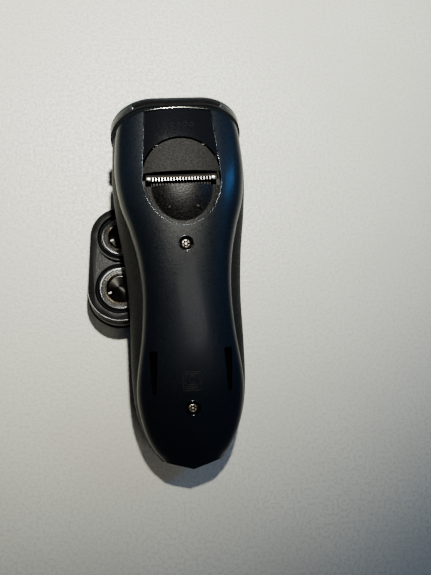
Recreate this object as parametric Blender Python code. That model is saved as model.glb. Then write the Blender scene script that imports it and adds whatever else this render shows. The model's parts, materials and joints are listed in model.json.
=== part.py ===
"""Rotary electric shaver lying on its front, back cover up, with its triple-head shaving unit
taken off and laid on the table under the grip.

Metres, +Z up. The origin is the middle of the small flat under the head end's chin, on the table
and on the handle's centre plane; +Y runs along the handle towards its head end.
Distances called "back" are measured from the back cover's head edge towards the tail.
"""

import math

import bmesh
import bpy
from mathutils import Matrix, Vector

MM = 0.001

# ---- Driving sizes of the handle ---------------------------------------------------------------
HANDLE_LENGTH = 162 * MM        # from the back cover's head edge to the tip of its tail
GRIP_WIDTH = 52 * MM            # across the textured sides at the waist
HEAD_ZONE = 56 * MM             # length kept for the trimmer, gears and motor
HEAD_EDGE_Y = 29 * MM           # from the origin to the back cover's head edge
WALL = 2.0 * MM                 # both casing shells
GAP = 0.3 * MM                  # between pieces that touch
RUN = 0.4 * MM                  # round a piece that moves
TAIL_SLOPE = 0.30               # how far the tail's two faces sweep back to the tip

# ---- Head end, square to an axis that leans towards the table ----------------------------------
HEAD_LEAN = math.radians(28)
HEAD_CENTRE_BACK = 5.4 * MM     # middle of the rim plane, behind the head edge
HEAD_CENTRE_Z = 29.6 * MM
SKIRT = 5.8 * MM                # depth of the hair chamber's rim
LIP = 1.2 * MM
CHAMBER_WALL = 1.8 * MM
CHAMBER_FLOOR = 1.4 * MM
RIM_FLAT = 24.8 * MM            # from the middle of the rim to its flat back edge
RIM_CORNER = 20 * MM            # radius of the rim's two back corners
RIM_CORNER_X = 10.3 * MM
CHIN_LOBE = 17 * MM             # rim radius round the lower spindle
RELEASE_HALF = 20 * MM          # half the length of the release bar

# ---- Gear train --------------------------------------------------------------------------------
MODULE = 1.0 * MM
CENTRE_TEETH = 12
SPINDLE_TEETH = 18
PINION_TEETH = 8
GEAR_WIDTH = 3.0 * MM
GEAR_TOP = SKIRT + 1.8 * MM     # depth of the gears' upper faces below the rim plane
PINION_LENGTH = 3.6 * MM
PLATE = 1.4 * MM
SHAFT = 1.1 * MM
SPINDLE_TIP = 2.3 * MM
MOTOR_RADIUS = 8.5 * MM
MOTOR_LENGTH = 20 * MM

# ---- Trimmer window ----------------------------------------------------------------------------
DISC_BACK = 31.5 * MM           # middle of the round lid and slide
DISC = 17.3 * MM
SLIDE_REACH = 22 * MM           # from the disc's middle to the slide's lower edge
WINDOW_TOP = 14.6 * MM          # half width at the head edge
LID_END_BACK = 29.6 * MM
SLIDE_START_BACK = 35.4 * MM
SLIDE = 2.2 * MM                # thickness of the slide's pad
DOME_PROUD = 0.6 * MM           # how far the slide's dome stands above the cover
DOME_FLAT = 1.0 * MM            # radius of the dome's level top
DOME_FALL = 12.5 * MM           # distance over which the dome falls away
DOME_SQUASH = 0.86              # the dome is drawn out along the handle by this much
LID = 1.2 * MM
PANEL = 0.7 * MM
HINGE_BACK = 16.9 * MM
HINGE_DEPTH = 2.1 * MM
HINGE_PIN = 0.3 * MM
HINGE_SPAN = 13.4 * MM            # half the length of the pin's seats
COMB_HALF = 16 * MM
COMB_TEETH = 19
COMB_LEVEL = 3.4 * MM           # depth of the comb below the crown
CRADLE_DEPTH = 6.8 * MM

# ---- Screws, slots, battery and electrics ------------------------------------------------------
SCREW_HOLE = 3.2 * MM
SCREW_HEAD = 2.35 * MM
SCREW_UPPER_BACK = 61.5 * MM
SCREW_TAIL = 28.4 * MM          # from the tail's tip to the lower screw
SLOT_LENGTH = 19.2 * MM
SLOT_WIDE = 3.8 * MM
SLOT_NARROW = 1.8 * MM
SLOT_OUT = 16.7 * MM
SLOT_TAIL = 35.2 * MM           # from the tail's tip to the slots' narrow ends
CELL_RADIUS = 6.5 * MM
CELL_LENGTH = 43 * MM
CELL_TAIL = 15 * MM
BOARD_LENGTH = 36 * MM
BOARD_HALF = 13 * MM
BOARD = 1.6 * MM
BUTTON = 6.5 * MM
BUTTON_PROUD = 0.5 * MM
SOCKET_HALF = 4.2 * MM
SOCKET_HEIGHT = 5.4 * MM
SOCKET_DEPTH = 9 * MM
CAP_LENGTH = 12 * MM
CONTACT = 0.8 * MM

# ---- Shaving unit ------------------------------------------------------------------------------
UNIT_X = -20.8 * MM
UNIT_BACK = 64.6 * MM
UNIT_TURN = math.radians(-5)
UNIT_LOBE = 16.2 * MM
UNIT_BASE = 3.6 * MM
UNIT_WALL = 1.6 * MM
BAND_LOBE = 15.3 * MM
GROOVE = 0.5 * MM
FRAME_LOW = 9.4 * MM
FRAME_HIGH = 15.4 * MM
FRAME_LOBE = 15.6 * MM
FRAME_LEAN = math.radians(8)    # the frame's top leans towards the head end
LEAN_PIVOT = 6 * MM
HEAD_SPLAY = math.radians(11)   # each shaving head leans outwards
HEAD_BORE = 12.0 * MM
COLLAR_WALL = 0.7 * MM
COLLAR_HEIGHT = 3.5 * MM
HEAD_RAISE = 0.5 * MM           # middle of each head's rim above the frame's top
RING_OUTER = 11.7 * MM
RING_INNER = 10.75 * MM
GUARD_OUTER = 10.4 * MM
GUARD_INNER = 6.9 * MM
GUARD_WALL = 0.6 * MM
GUARD_HEIGHT = 3.0 * MM
CAP_RADIUS = 6.7 * MM
CUTTER_RADIUS = 9.3 * MM
CUTTER_BLADES = 9

SECTORS = 24                    # sides of an ordinary round piece


def grip(share):
    """A distance back, at a share of the grip behind the head zone."""
    return HEAD_ZONE + share * (HANDLE_LENGTH - HEAD_ZONE)


# Each line gives (back, value) where its shape needs a point.
CROWN_LINE = [(-12 * MM, 53.2 * MM), (0, 54.5 * MM), (15 * MM, 56.0 * MM), (32 * MM, 56.8 * MM),
              (55 * MM, 55.8 * MM), (grip(0.23), 53.0 * MM), (grip(0.46), 48.0 * MM),
              (grip(0.65), 42.0 * MM), (grip(0.79), 35.6 * MM), (grip(0.90), 29.2 * MM),
              (grip(1.0), 22.4 * MM), (grip(1.1), 20 * MM)]
KEEL_LINE = [(-12 * MM, 5 * MM), (16 * MM, 4 * MM), (23 * MM, 1.6 * MM), (27 * MM, -0.8 * MM),
             (32 * MM, -0.8 * MM), (35.5 * MM, 4.5 * MM), (40 * MM, 14 * MM), (46 * MM, 20 * MM),
             (56 * MM, 22.6 * MM), (grip(0.16), 23.4 * MM),
             (grip(0.34), 22.6 * MM), (grip(0.44), 17 * MM), (grip(0.54), 8.5 * MM),
             (grip(0.64), 1.8 * MM), (grip(0.73), -0.6 * MM), (grip(0.82), 1 * MM),
             (grip(0.91), 5.0 * MM), (grip(1.0), 9.4 * MM), (grip(1.1), 11.5 * MM)]
EDGE_Z_LINE = [(-12 * MM, 47 * MM), (4 * MM, 45 * MM), (18 * MM, 43.6 * MM), (grip(0.22), 43 * MM),
               (grip(0.4), 40 * MM), (grip(0.52), 36.6 * MM), (grip(0.62), 33 * MM),
               (grip(0.72), 29 * MM), (grip(0.83), 25 * MM), (grip(0.92), 21.6 * MM),
               (grip(1.0), 18.6 * MM), (grip(1.1), 15.5 * MM)]
SIDE_Z_LINE = [(-12 * MM, 37.5 * MM), (10 * MM, 37 * MM), (35 * MM, 34 * MM), (grip(0.2), 33 * MM),
               (grip(0.4), 31 * MM), (grip(0.52), 28 * MM), (grip(0.62), 25 * MM),
               (grip(0.73), 22 * MM), (grip(0.84), 19.4 * MM), (grip(1.0), 16.4 * MM),
               (grip(1.1), 15.2 * MM)]
HALF_GRIP = GRIP_WIDTH / 2
EDGE_HALF_LINE = [(-12 * MM, 22 * MM), (0, 25.4 * MM), (6 * MM, 27.4 * MM), (15 * MM, 28.8 * MM),
                  (28 * MM, 29.4 * MM), (41 * MM, 27.8 * MM), (53 * MM, 24.4 * MM),
                  (grip(0.09), 0.83 * HALF_GRIP), (grip(0.24), 0.775 * HALF_GRIP),
                  (grip(0.41), 0.815 * HALF_GRIP), (grip(0.61), 0.935 * HALF_GRIP),
                  (grip(0.71), 0.935 * HALF_GRIP), (grip(0.83), 0.83 * HALF_GRIP),
                  (grip(0.91), 0.675 * HALF_GRIP), (grip(0.97), 0.49 * HALF_GRIP),
                  (grip(1.1), 0.3 * HALF_GRIP)]
SIDE_HALF_LINE = [(-12 * MM, 28.8 * MM), (4 * MM, 29.3 * MM), (18 * MM, 30.2 * MM),
                  (30 * MM, 30.8 * MM), (46 * MM, 29.6 * MM), (grip(0.07), 1.05 * HALF_GRIP),
                  (grip(0.26), 0.995 * HALF_GRIP), (grip(0.5), 1.01 * HALF_GRIP),
                  (grip(0.62), 1.01 * HALF_GRIP), (grip(0.73), 0.97 * HALF_GRIP),
                  (grip(0.83), 0.86 * HALF_GRIP), (grip(0.91), 0.70 * HALF_GRIP),
                  (grip(0.97), 0.53 * HALF_GRIP), (grip(1.1), 0.36 * HALF_GRIP)]
KEEL_POWER_LINE = [(-12 * MM, 1.35), (30 * MM, 1.45), (52 * MM, 2.3), (grip(0.4), 2.5),
                   (grip(0.7), 2.3), (grip(1.1), 2.2)]
CROWN_POWER = 2.5


def smooth(line, at):
    """Height of a smooth curve through the line's points, at one place along it."""
    at = min(max(at, line[0][0]), line[-1][0])
    spans = range(len(line) - 1)
    i = next(k for k in spans if at <= line[k + 1][0] or k == spans[-1])

    def slope(k):
        low, high = max(k - 1, 0), min(k + 1, len(line) - 1)
        return (line[high][1] - line[low][1]) / (line[high][0] - line[low][0])

    (x0, y0), (x1, y1) = line[i], line[i + 1]
    width = x1 - x0
    t = (at - x0) / width
    rise = (3 - 2 * t) * t * t
    leave = t * (1 - t) ** 2 * width * slope(i)
    arrive = -t * t * (1 - t) * width * slope(i + 1)
    return y0 + (y1 - y0) * rise + leave + arrive


def y_of(back):
    return HEAD_EDGE_Y - back


def crown(back):
    return smooth(CROWN_LINE, back)


def keel(back):
    return smooth(KEEL_LINE, back)


def back_height(x, back, sunk=0.0):
    """Height of the back cover's outer surface, or of one sunk below it."""
    edge = smooth(EDGE_Z_LINE, back)
    across = min(abs(x) / (smooth(EDGE_HALF_LINE, back) - sunk), 1.0)
    rise = (1 - across**CROWN_POWER) ** (1 / CROWN_POWER)
    return edge + (crown(back) - sunk - edge) * rise


# ---- Building blocks ---------------------------------------------------------------------------
def clear_scene():
    for obj in list(bpy.data.objects):
        bpy.data.objects.remove(obj, do_unlink=True)


def material(name, colour, roughness, metallic=0.0):
    made = bpy.data.materials.new(name)
    made.use_nodes = True
    shader = made.node_tree.nodes["Principled BSDF"]
    shader.inputs["Base Color"].default_value = (*colour, 1.0)
    shader.inputs["Roughness"].default_value = roughness
    shader.inputs["Metallic"].default_value = metallic
    return made


def make(name, points, faces, finish=None, parent=None, smooth_shaded=False):
    """An object from points and faces, with its faces turned outwards."""
    mesh = bpy.data.meshes.new(name)
    mesh.from_pydata([tuple(p) for p in points], [], faces)
    shape = bmesh.new()
    shape.from_mesh(mesh)
    bmesh.ops.recalc_face_normals(shape, faces=shape.faces)
    shape.to_mesh(mesh)
    shape.free()
    obj = bpy.data.objects.new(name, mesh)
    bpy.context.scene.collection.objects.link(obj)
    obj.parent = parent
    if finish:
        mesh.materials.append(finish)
    if smooth_shaded:
        mesh.shade_smooth()
        mesh.set_sharp_from_angle(angle=math.radians(35))
    return obj


def grid_solid(outer, inner):
    """Points and faces of the wall between two equal grids of points, closed round its edges."""
    rows, columns = len(outer), len(outer[0])
    points = [p for row in outer for p in row] + [p for row in inner for p in row]
    under = rows * columns

    def at(i, j, layer=0):
        return layer + i * columns + j

    faces = []
    for i in range(rows - 1):
        for j in range(columns - 1):
            faces.append((at(i, j), at(i, j + 1), at(i + 1, j + 1), at(i + 1, j)))
            faces.append(tuple(at(a, b, under) for a, b in
                               ((i, j), (i + 1, j), (i + 1, j + 1), (i, j + 1))))
    for i in range(rows - 1):
        for j in (0, columns - 1):
            faces.append((at(i, j), at(i + 1, j), at(i + 1, j, under), at(i, j, under)))
    for j in range(columns - 1):
        for i in (0, rows - 1):
            faces.append((at(i, j), at(i, j + 1), at(i, j + 1, under), at(i, j, under)))
    return points, faces


def prism(name, outline, low, high, finish=None, parent=None):
    """A straight-sided solid on an outline in the XY plane."""
    count = len(outline)
    points = [(x, y, z) for z in (low, high) for x, y in outline]
    faces = [tuple(range(count)), tuple(range(count, 2 * count))]
    faces += [(k, (k + 1) % count, (k + 1) % count + count, k + count) for k in range(count)]
    return make(name, points, faces, finish, parent)


def turned(name, profile, finish=None, parent=None, sectors=SECTORS, centre=(0, 0)):
    """A solid turned about Z from (radius, height) points; a radius of 0 closes on the axis."""
    points, rings = [], []
    for radius, height in profile:
        if radius == 0:
            rings.append([len(points)] * sectors)
            points.append((centre[0], centre[1], height))
            continue
        rings.append(list(range(len(points), len(points) + sectors)))
        for k in range(sectors):
            turn = 2 * math.pi * k / sectors
            points.append((centre[0] + radius * math.cos(turn),
                           centre[1] + radius * math.sin(turn), height))
    closed = profile[0][0] != 0 or profile[-1][0] != 0
    pairs = list(zip(rings, rings[1:] + rings[:1] if closed else rings[1:]))
    faces = []
    for low, high in pairs:
        for k in range(sectors):
            after = (k + 1) % sectors
            corners = (low[k], low[after], high[after], high[k])
            face = tuple(dict.fromkeys(corners))
            if len(face) > 2:
                faces.append(face)
    return make(name, points, faces, finish, parent, smooth_shaded=True)


def rod(name, radius, low, high, finish=None, parent=None, sectors=SECTORS, centre=(0, 0)):
    return turned(name, [(0, low), (radius, low), (radius, high), (0, high)],
                  finish, parent, sectors, centre)


def box(name, low, high, finish=None, parent=None):
    outline = [(low[0], low[1]), (high[0], low[1]), (high[0], high[1]), (low[0], high[1])]
    return prism(name, outline, low[2], high[2], finish, parent)


def boolean(obj, tool, operation):
    """Cuts, joins or keeps what is common, applied at once so that the tool can go."""
    bpy.context.view_layer.update()
    modifier = obj.modifiers.new(operation, "BOOLEAN")
    modifier.operation = operation
    modifier.solver = "EXACT"
    modifier.object = tool
    graph = bpy.context.evaluated_depsgraph_get()
    result = bpy.data.meshes.new_from_object(obj.evaluated_get(graph))
    obj.modifiers.remove(modifier)
    obj.data = result
    bpy.data.objects.remove(tool, do_unlink=True)
    return obj


def cut(obj, tool):
    return boolean(obj, tool, "DIFFERENCE")


def join(obj, tool):
    return boolean(obj, tool, "UNION")


def circle(radius, centre=(0, 0), sectors=SECTORS, start=0.0):
    return [(centre[0] + radius * math.cos(start + 2 * math.pi * k / sectors),
             centre[1] + radius * math.sin(start + 2 * math.pi * k / sectors))
            for k in range(sectors)]


def round_triangle(centres, radii, steps=9):
    """The outline that a band pulled tight round three circles would take, turning left."""
    outline = []
    for k in range(3):
        before, here, after = centres[k - 1], centres[k], centres[(k + 1) % 3]

        def leaving(a, b, ra, rb):
            run = Vector(b) - Vector(a)
            side = math.asin((ra - rb) / run.length)
            return math.atan2(run.y, run.x) - math.pi / 2 + side

        start = leaving(before, here, radii[k - 1], radii[k])
        stop = leaving(here, after, radii[k], radii[(k + 1) % 3])
        while stop < start:
            stop += 2 * math.pi
        for step in range(steps + 1):
            turn = start + (stop - start) * step / steps
            outline.append((here[0] + radii[k] * math.cos(turn),
                            here[1] + radii[k] * math.sin(turn)))
    return outline


def gear_outline(teeth, phase=0.0, centre=(0, 0), thin=0.94):
    """A spur gear with straight flanks; its first tooth points at the phase angle."""
    pitch_radius = MODULE * teeth / 2
    tip, root = pitch_radius + 0.80 * MODULE, pitch_radius - 1.05 * MODULE
    step = 2 * math.pi / teeth
    half_pitch = step / 4 * thin
    flank = math.tan(math.radians(20))
    half_tip = half_pitch - 0.80 * MODULE * flank / pitch_radius
    half_root = half_pitch + 1.05 * MODULE * flank / pitch_radius
    outline = []
    for k in range(teeth):
        middle = phase + k * step
        for radius, away in ((root, -half_root), (tip, -half_tip), (tip, half_tip),
                             (root, half_root)):
            outline.append((centre[0] + radius * math.cos(middle + away),
                            centre[1] + radius * math.sin(middle + away)))
    return outline


def meshed_phase(driver_phase, driver_teeth, direction, teeth):
    """Phase of a gear that sits in this direction from its driver, a tooth against a gap."""
    step = 2 * math.pi / driver_teeth
    offset = ((direction - driver_phase) / step) % 1
    return direction + math.pi + (offset + 0.5) * 2 * math.pi / teeth


# ---- Frames ------------------------------------------------------------------------------------
def frame(name, matrix, parent=None):
    empty = bpy.data.objects.new(name, None)
    bpy.context.scene.collection.objects.link(empty)
    empty.parent = parent
    empty.matrix_local = matrix
    return empty


def head_frame():
    """Z points out of the head end and Y towards the chin."""
    matrix = Matrix.Translation((0, y_of(HEAD_CENTRE_BACK), HEAD_CENTRE_Z))
    return frame("head_frame", matrix @ Matrix.Rotation(-math.pi / 2 - HEAD_LEAN, 4, "X"))


SPINDLE_CIRCLE = MODULE * (CENTRE_TEETH + SPINDLE_TEETH) / 2
PINION_OFFSET = MODULE * (CENTRE_TEETH + PINION_TEETH) / 2
SPINDLE_TURNS = [math.radians(a) for a in (-150, -30, 90)]
SPINDLES = [(SPINDLE_CIRCLE * math.cos(a), SPINDLE_CIRCLE * math.sin(a)) for a in SPINDLE_TURNS]


def head_outline(shrink=0.0, steps=9):
    corner_y = RIM_CORNER - RIM_FLAT
    centres = [(-RIM_CORNER_X, corner_y), (RIM_CORNER_X, corner_y), SPINDLES[2]]
    return round_triangle(centres, [r - shrink for r in (RIM_CORNER, RIM_CORNER, CHIN_LOBE)], steps)


# ---- Casing ------------------------------------------------------------------------------------
def shell_section(back, inset):
    """The front shell from its left edge, under the keel, to its right edge."""
    y = y_of(back)
    edge_half = smooth(EDGE_HALF_LINE, back) - inset
    edge_z = smooth(EDGE_Z_LINE, back)
    side_half = smooth(SIDE_HALF_LINE, back) - inset
    side_z = smooth(SIDE_Z_LINE, back)
    low = keel(back) + inset
    power = smooth(KEEL_POWER_LINE, back)
    right = []
    for step in range(3):
        t = step / 3
        bend_z = 0.6 * edge_z + 0.4 * side_z
        right.append(((1 - t) ** 2 * edge_half + 2 * t * (1 - t) * side_half + t * t * side_half,
                      (1 - t) ** 2 * edge_z + 2 * t * (1 - t) * bend_z + t * t * side_z))
    for step in range(8):
        turn = math.pi / 2 * step / 8
        right.append((side_half * math.cos(turn) ** (2 / power),
                      side_z - (side_z - low) * math.sin(turn) ** (2 / power)))
    left = [(-x, z) for x, z in right]
    return [Vector((x, y, z)) for x, z in left + [(0, low)] + right[::-1]]


def cover_section(back, inset, steps=14):
    """The back cover from its left edge, over the crown, to its right edge."""
    edge_half = smooth(EDGE_HALF_LINE, back) - inset
    foot = smooth(EDGE_Z_LINE, back) + GAP
    section = []
    for step in range(steps + 1):
        x = edge_half * math.sin(math.pi * (step / steps - 0.5))
        z = max(back_height(x, back, inset), foot)
        section.append(Vector((x, y_of(back), z)))
    return section


def stations():
    """Where the casing has its cross-sections: closer together as the tail narrows."""
    head = [(-12 + 6.8 * k) * MM for k in range(11)]
    return head + [grip(1.08 * (1 - (1 - k / 15) ** 1.5)) for k in range(1, 16)]


def head_cutter(frame_empty, depth):
    """Everything in front of a plane this deep below the rim."""
    size = 60 * MM
    return box("head_cutter", (-size, -size, -depth), (size, size, size), parent=frame_empty)


def tail_cutter():
    """Everything behind the tail's two swept faces."""
    far = 60 * MM
    tip = HANDLE_LENGTH
    outline = [(0, y_of(tip)), (-far, y_of(tip - TAIL_SLOPE * far)),
               (-far, y_of(tip + far)), (far, y_of(tip + far)),
               (far, y_of(tip - TAIL_SLOPE * far))]
    return prism("tail_cutter", outline, -far, 2 * far)


def front_shell(finish, head):
    rows = [shell_section(back, 0) for back in stations()]
    inner = [shell_section(back, WALL) for back in stations()]
    shell = make("front_shell", *grid_solid(rows, inner), finish, smooth_shaded=True)
    cut(shell, head_cutter(head, SKIRT + GAP))
    cut(shell, tail_cutter())
    far = 2 * HANDLE_LENGTH
    cut(shell, box("table", (-far, -far, -far), (far, far, 0)))
    cut(shell, rod("button_hole", BUTTON + RUN, -far, far, centre=(0, y_of(button_back()))))
    cut(shell, rod("light_hole", 1.6 * MM, 0, 30 * MM, sectors=12, centre=(0, y_of(light_back()))))
    return shell


def window_outline(grow=0.0, steps=16):
    """The trimmer's window in the back cover: a taper from the head edge, then a round end."""
    outline = [(WINDOW_TOP + grow, y_of(-6 * MM))]
    for k in range(steps + 1):
        turn = math.pi * k / steps
        outline.append(((DISC + 0.4 * MM + grow) * math.cos(turn),
                        y_of(DISC_BACK + (SLIDE_REACH + grow) * math.sin(turn))))
    outline.append((-WINDOW_TOP - grow, y_of(-6 * MM)))
    return outline


def slot_outline(side, grow=0.0):
    """A dock slot in the back cover: wide towards the head end, narrow towards the tail."""
    low = HANDLE_LENGTH - SLOT_TAIL
    high = low - SLOT_LENGTH
    wide, narrow = SLOT_WIDE / 2 + grow, SLOT_NARROW / 2 + grow
    out = SLOT_OUT + 0.4 * MM
    points = [(SLOT_OUT - wide, high - grow), (SLOT_OUT + wide, high - grow),
              (out + narrow, low + grow), (out - narrow, low + grow)]
    return [(side * x, y_of(back)) for x, back in points]


def screw_backs():
    return {"upper": SCREW_UPPER_BACK, "lower": HANDLE_LENGTH - SCREW_TAIL}


def back_cover(finish, head):
    rows = [cover_section(back, 0) for back in stations()]
    inner = [cover_section(back, WALL) for back in stations()]
    cover = make("back_cover", *grid_solid(rows, inner), finish, smooth_shaded=True)
    cut(cover, head_cutter(head, SKIRT + GAP))
    cut(cover, tail_cutter())
    high = 90 * MM
    cut(cover, prism("window", window_outline(), 0, high))
    for back in screw_backs().values():
        cut(cover, rod("screw_hole", SCREW_HOLE, 0, high, sectors=20, centre=(0, y_of(back))))
    for side in (-1, 1):
        cut(cover, prism("slot", slot_outline(side), 0, high))
    return cover


def screws(finish, well_finish):
    """Each screw stands in a well that is deeper than its head."""
    for name, back in screw_backs().items():
        seat = back_height(0, back) - 3.4 * MM
        centre = (0, y_of(back))
        well = turned(f"screw_well_{name}",
                      [(1.2 * MM, seat - 6 * MM), (SCREW_HOLE - GAP, seat - 6 * MM),
                       (SCREW_HOLE - GAP, seat + 2.2 * MM),
                       (SCREW_HEAD + GAP, seat + 2.2 * MM), (SCREW_HEAD + GAP, seat),
                       (1.2 * MM, seat)], well_finish, sectors=20, centre=centre)
        well.data.shade_flat()
        screw = turned(f"cover_screw_{name}",
                       [(0, seat - 8 * MM), (0.9 * MM, seat - 7 * MM), (0.9 * MM, seat + GAP),
                        (SCREW_HEAD, seat + GAP), (SCREW_HEAD, seat + 1.3 * MM),
                        (SCREW_HEAD - 0.5 * MM, seat + 1.8 * MM), (0, seat + 1.8 * MM)],
                       finish, sectors=20, centre=centre)
        star = [(centre[0] + r * math.cos(k * math.pi / 6 + 0.1),
                 centre[1] + r * math.sin(k * math.pi / 6 + 0.1))
                for k, r in enumerate([1.35 * MM, 0.95 * MM] * 6)]
        cut(screw, prism("drive", star, seat + 0.8 * MM, seat + 4 * MM))


def dock_pockets(finish):
    """A cup behind each dock slot, which takes the charging stand's prong."""
    for name, side in (("left", -1), ("right", 1)):
        low_back = HANDLE_LENGTH - SLOT_TAIL
        roof = back_height(SLOT_OUT + SLOT_WIDE / 2 + 2 * MM, low_back) - WALL - 2.2 * MM
        floor = roof - 5 * MM
        wall = 0.9 * MM
        cup = prism(f"dock_pocket_{name}", slot_outline(side, wall), floor - wall, roof, finish)
        cut(cup, prism("cup_inside", slot_outline(side), floor, roof + 1 * MM))


def tail_cap(finish, contact_finish):
    """Closes the tail end and holds the charging socket."""
    inset = WALL + 1.5 * GAP
    backs = [back for back in stations() if back > HANDLE_LENGTH - CAP_LENGTH - 9 * MM]
    rows = len(backs) - 1
    loops = []
    for back in backs:
        lower = shell_section(back, inset)
        upper = cover_section(back, inset)
        loops.append(lower[2:-2] + upper[::-1][1:-1])
    count = len(loops[0])
    points = [p for loop in loops for p in loop]
    faces = [tuple(range(count)), tuple(range(rows * count, (rows + 1) * count))]
    for i in range(rows):
        for k in range(count):
            after = (k + 1) % count
            faces.append((i * count + k, i * count + after,
                          (i + 1) * count + after, (i + 1) * count + k))
    cap = make("charging_socket", points, faces, finish)
    cut(cap, tail_cutter())
    far = 60 * MM
    cut(cap, box("cap_front", (-far, y_of(HANDLE_LENGTH - CAP_LENGTH), -far), (far, far, far)))
    middle = socket_height()
    far = HANDLE_LENGTH + 5 * MM
    cut(cap, box("recess", (-SOCKET_HALF, y_of(far), middle - SOCKET_HEIGHT / 2),
                 (SOCKET_HALF, y_of(HANDLE_LENGTH - SOCKET_DEPTH), middle + SOCKET_HEIGHT / 2)))
    length = 3.4 * MM
    for name, side in (("left", -1), ("right", 1)):
        x = side * 1.9 * MM
        near = y_of(HANDLE_LENGTH - SOCKET_DEPTH) - GAP
        outline = circle(CONTACT, (x, middle), 10)
        pin = prism(f"socket_contact_{name}", outline, 0, length, contact_finish)
        pin.matrix_world = Matrix.Translation((0, near, 0)) @ Matrix.Rotation(math.pi / 2, 4, "X")
        pin.data.transform(pin.matrix_world)
        pin.matrix_world = Matrix.Identity(4)
        make_outward(pin)


def socket_height():
    return (crown(HANDLE_LENGTH) + keel(HANDLE_LENGTH)) / 2


def make_outward(obj):
    shape = bmesh.new()
    shape.from_mesh(obj.data)
    bmesh.ops.recalc_face_normals(shape, faces=shape.faces)
    shape.to_mesh(obj.data)
    shape.free()


# ---- Power, board and front controls -----------------------------------------------------------
def button_back():
    return grip(0.2)


def light_back():
    return grip(0.36)


def batteries(finish):
    """Two cells side by side, lying along the middle of the casing."""
    near = HANDLE_LENGTH - CELL_TAIL - CELL_LENGTH
    far = HANDLE_LENGTH - CELL_TAIL
    start = Vector((0, y_of(near), (crown(near) + keel(near)) / 2 - 1 * MM))
    end = Vector((0, y_of(far), (crown(far) + keel(far)) / 2))
    along = (end - start).normalized()
    pitch = along.to_track_quat("Z", "X").to_matrix().to_4x4()
    for name, side in (("left", -1), ("right", 1)):
        cell = turned(f"battery_{name}",
                      [(0, 0), (CELL_RADIUS, 0), (CELL_RADIUS, CELL_LENGTH - 0.8 * MM),
                       (CELL_RADIUS - 0.8 * MM, CELL_LENGTH), (2.2 * MM, CELL_LENGTH),
                       (2.2 * MM, CELL_LENGTH + 1.0 * MM), (0, CELL_LENGTH + 1.0 * MM)],
                      finish, sectors=20)
        shift = Vector((side * (CELL_RADIUS + GAP), 0, 0))
        cell.matrix_world = Matrix.Translation(start + shift) @ pitch


def circuit_board(finish, chip_finish):
    first = HEAD_ZONE + 2 * MM
    level = board_height()
    board = box("circuit_board", (-BOARD_HALF, y_of(first + BOARD_LENGTH), level),
                (BOARD_HALF, y_of(first), level + BOARD), finish)
    high = level + BOARD
    for x, back, size in ((-6 * MM, 9 * MM, 3 * MM), (5 * MM, 14 * MM, 2.4 * MM),
                          (-2 * MM, 30 * MM, 4 * MM)):
        y = y_of(first + back)
        join(board, box("chip", (x - size, y - size, high - 0.3 * MM),
                        (x + size, y + size, high + 1.4 * MM)))
    switch = box("power_switch", (-2.5 * MM, y_of(button_back()) - 2.5 * MM, level - 2.9 * MM),
                 (2.5 * MM, y_of(button_back()) + 2.5 * MM, level - GAP), chip_finish)
    return board, switch


def board_height():
    return keel(button_back()) + WALL + 5.6 * MM


def control_panel(finish):
    """A smooth inlay round the power button, on the front of the grip."""
    first, last = grip(0.04), grip(0.34)
    rows, columns = 9, 6
    outer, inner = [], []
    for i in range(rows + 1):
        back = first + (last - first) * i / rows
        swell = math.sin(math.pi * (0.12 + 0.76 * i / rows))
        half = 10.5 * MM * swell ** 0.5
        across = [half * (2 * k / columns - 1) for k in range(columns + 1)]
        outer.append([Vector((x, y_of(back), front_height(x, back) - 3 * GAP - 0.8 * MM))
                      for x in across])
        inner.append([Vector((x, y_of(back), front_height(x, back) - 3 * GAP)) for x in across])
    panel = make("control_panel", *grid_solid(outer, inner), finish, smooth_shaded=True)
    cut(panel, rod("button_hole", BUTTON + RUN, 0, 40 * MM, centre=(0, y_of(button_back()))))
    cut(panel, rod("light_hole", 1.6 * MM, 0, 40 * MM, sectors=12, centre=(0, y_of(light_back()))))
    return panel


def front_height(x, back):
    """Height of the front shell's outer surface under the grip."""
    power = smooth(KEEL_POWER_LINE, back)
    side = smooth(SIDE_Z_LINE, back)
    across = abs(x) / smooth(SIDE_HALF_LINE, back)
    return side - (side - keel(back)) * (1 - across**power) ** (1 / power)


def power_button(finish):
    low = keel(button_back()) - 3 * GAP - 0.8 * MM - BUTTON_PROUD
    high = keel(button_back()) + WALL + 0.8 * MM
    flange = BUTTON + 1.2 * MM
    return turned("power_button",
                  [(0, low + 0.5 * MM), (BUTTON - 1.2 * MM, low), (BUTTON - 0.3 * MM, low),
                   (BUTTON, low + 0.4 * MM), (BUTTON, high), (flange, high),
                   (flange, high + 0.8 * MM), (0, high + 0.8 * MM)],
                  finish, centre=(0, y_of(button_back())))


def charge_light(finish):
    level = front_height(0, light_back())
    return rod("charge_light", 1.6 * MM - GAP, level - 3 * GAP - 0.8 * MM, level + WALL + 3 * MM, finish,
               sectors=12, centre=(0, y_of(light_back())))


# ---- Trimmer in the back -----------------------------------------------------------------------
def patch(name, first, last, half_at, top_at, low_at, finish, rows=7, columns=8):
    """A plate whose width, top and underside are functions of the place along the handle."""
    outer, inner = [], []
    for i in range(rows + 1):
        share = 0.5 - 0.5 * math.cos(math.pi * i / rows)
        back = first + (last - first) * share
        half = half_at(back)
        across = [half * math.sin(math.pi * (k / columns - 0.5)) for k in range(columns + 1)]
        outer.append([Vector((x, y_of(back), top_at(x, back))) for x in across])
        inner.append([Vector((x, y_of(back), low_at(x, back))) for x in across])
    return make(name, *grid_solid(outer, inner), finish, smooth_shaded=True)


def disc_half(back, radius, reach):
    away = (back - DISC_BACK) / reach
    return radius * math.sqrt(max(1 - away * away, 0.002))


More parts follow.
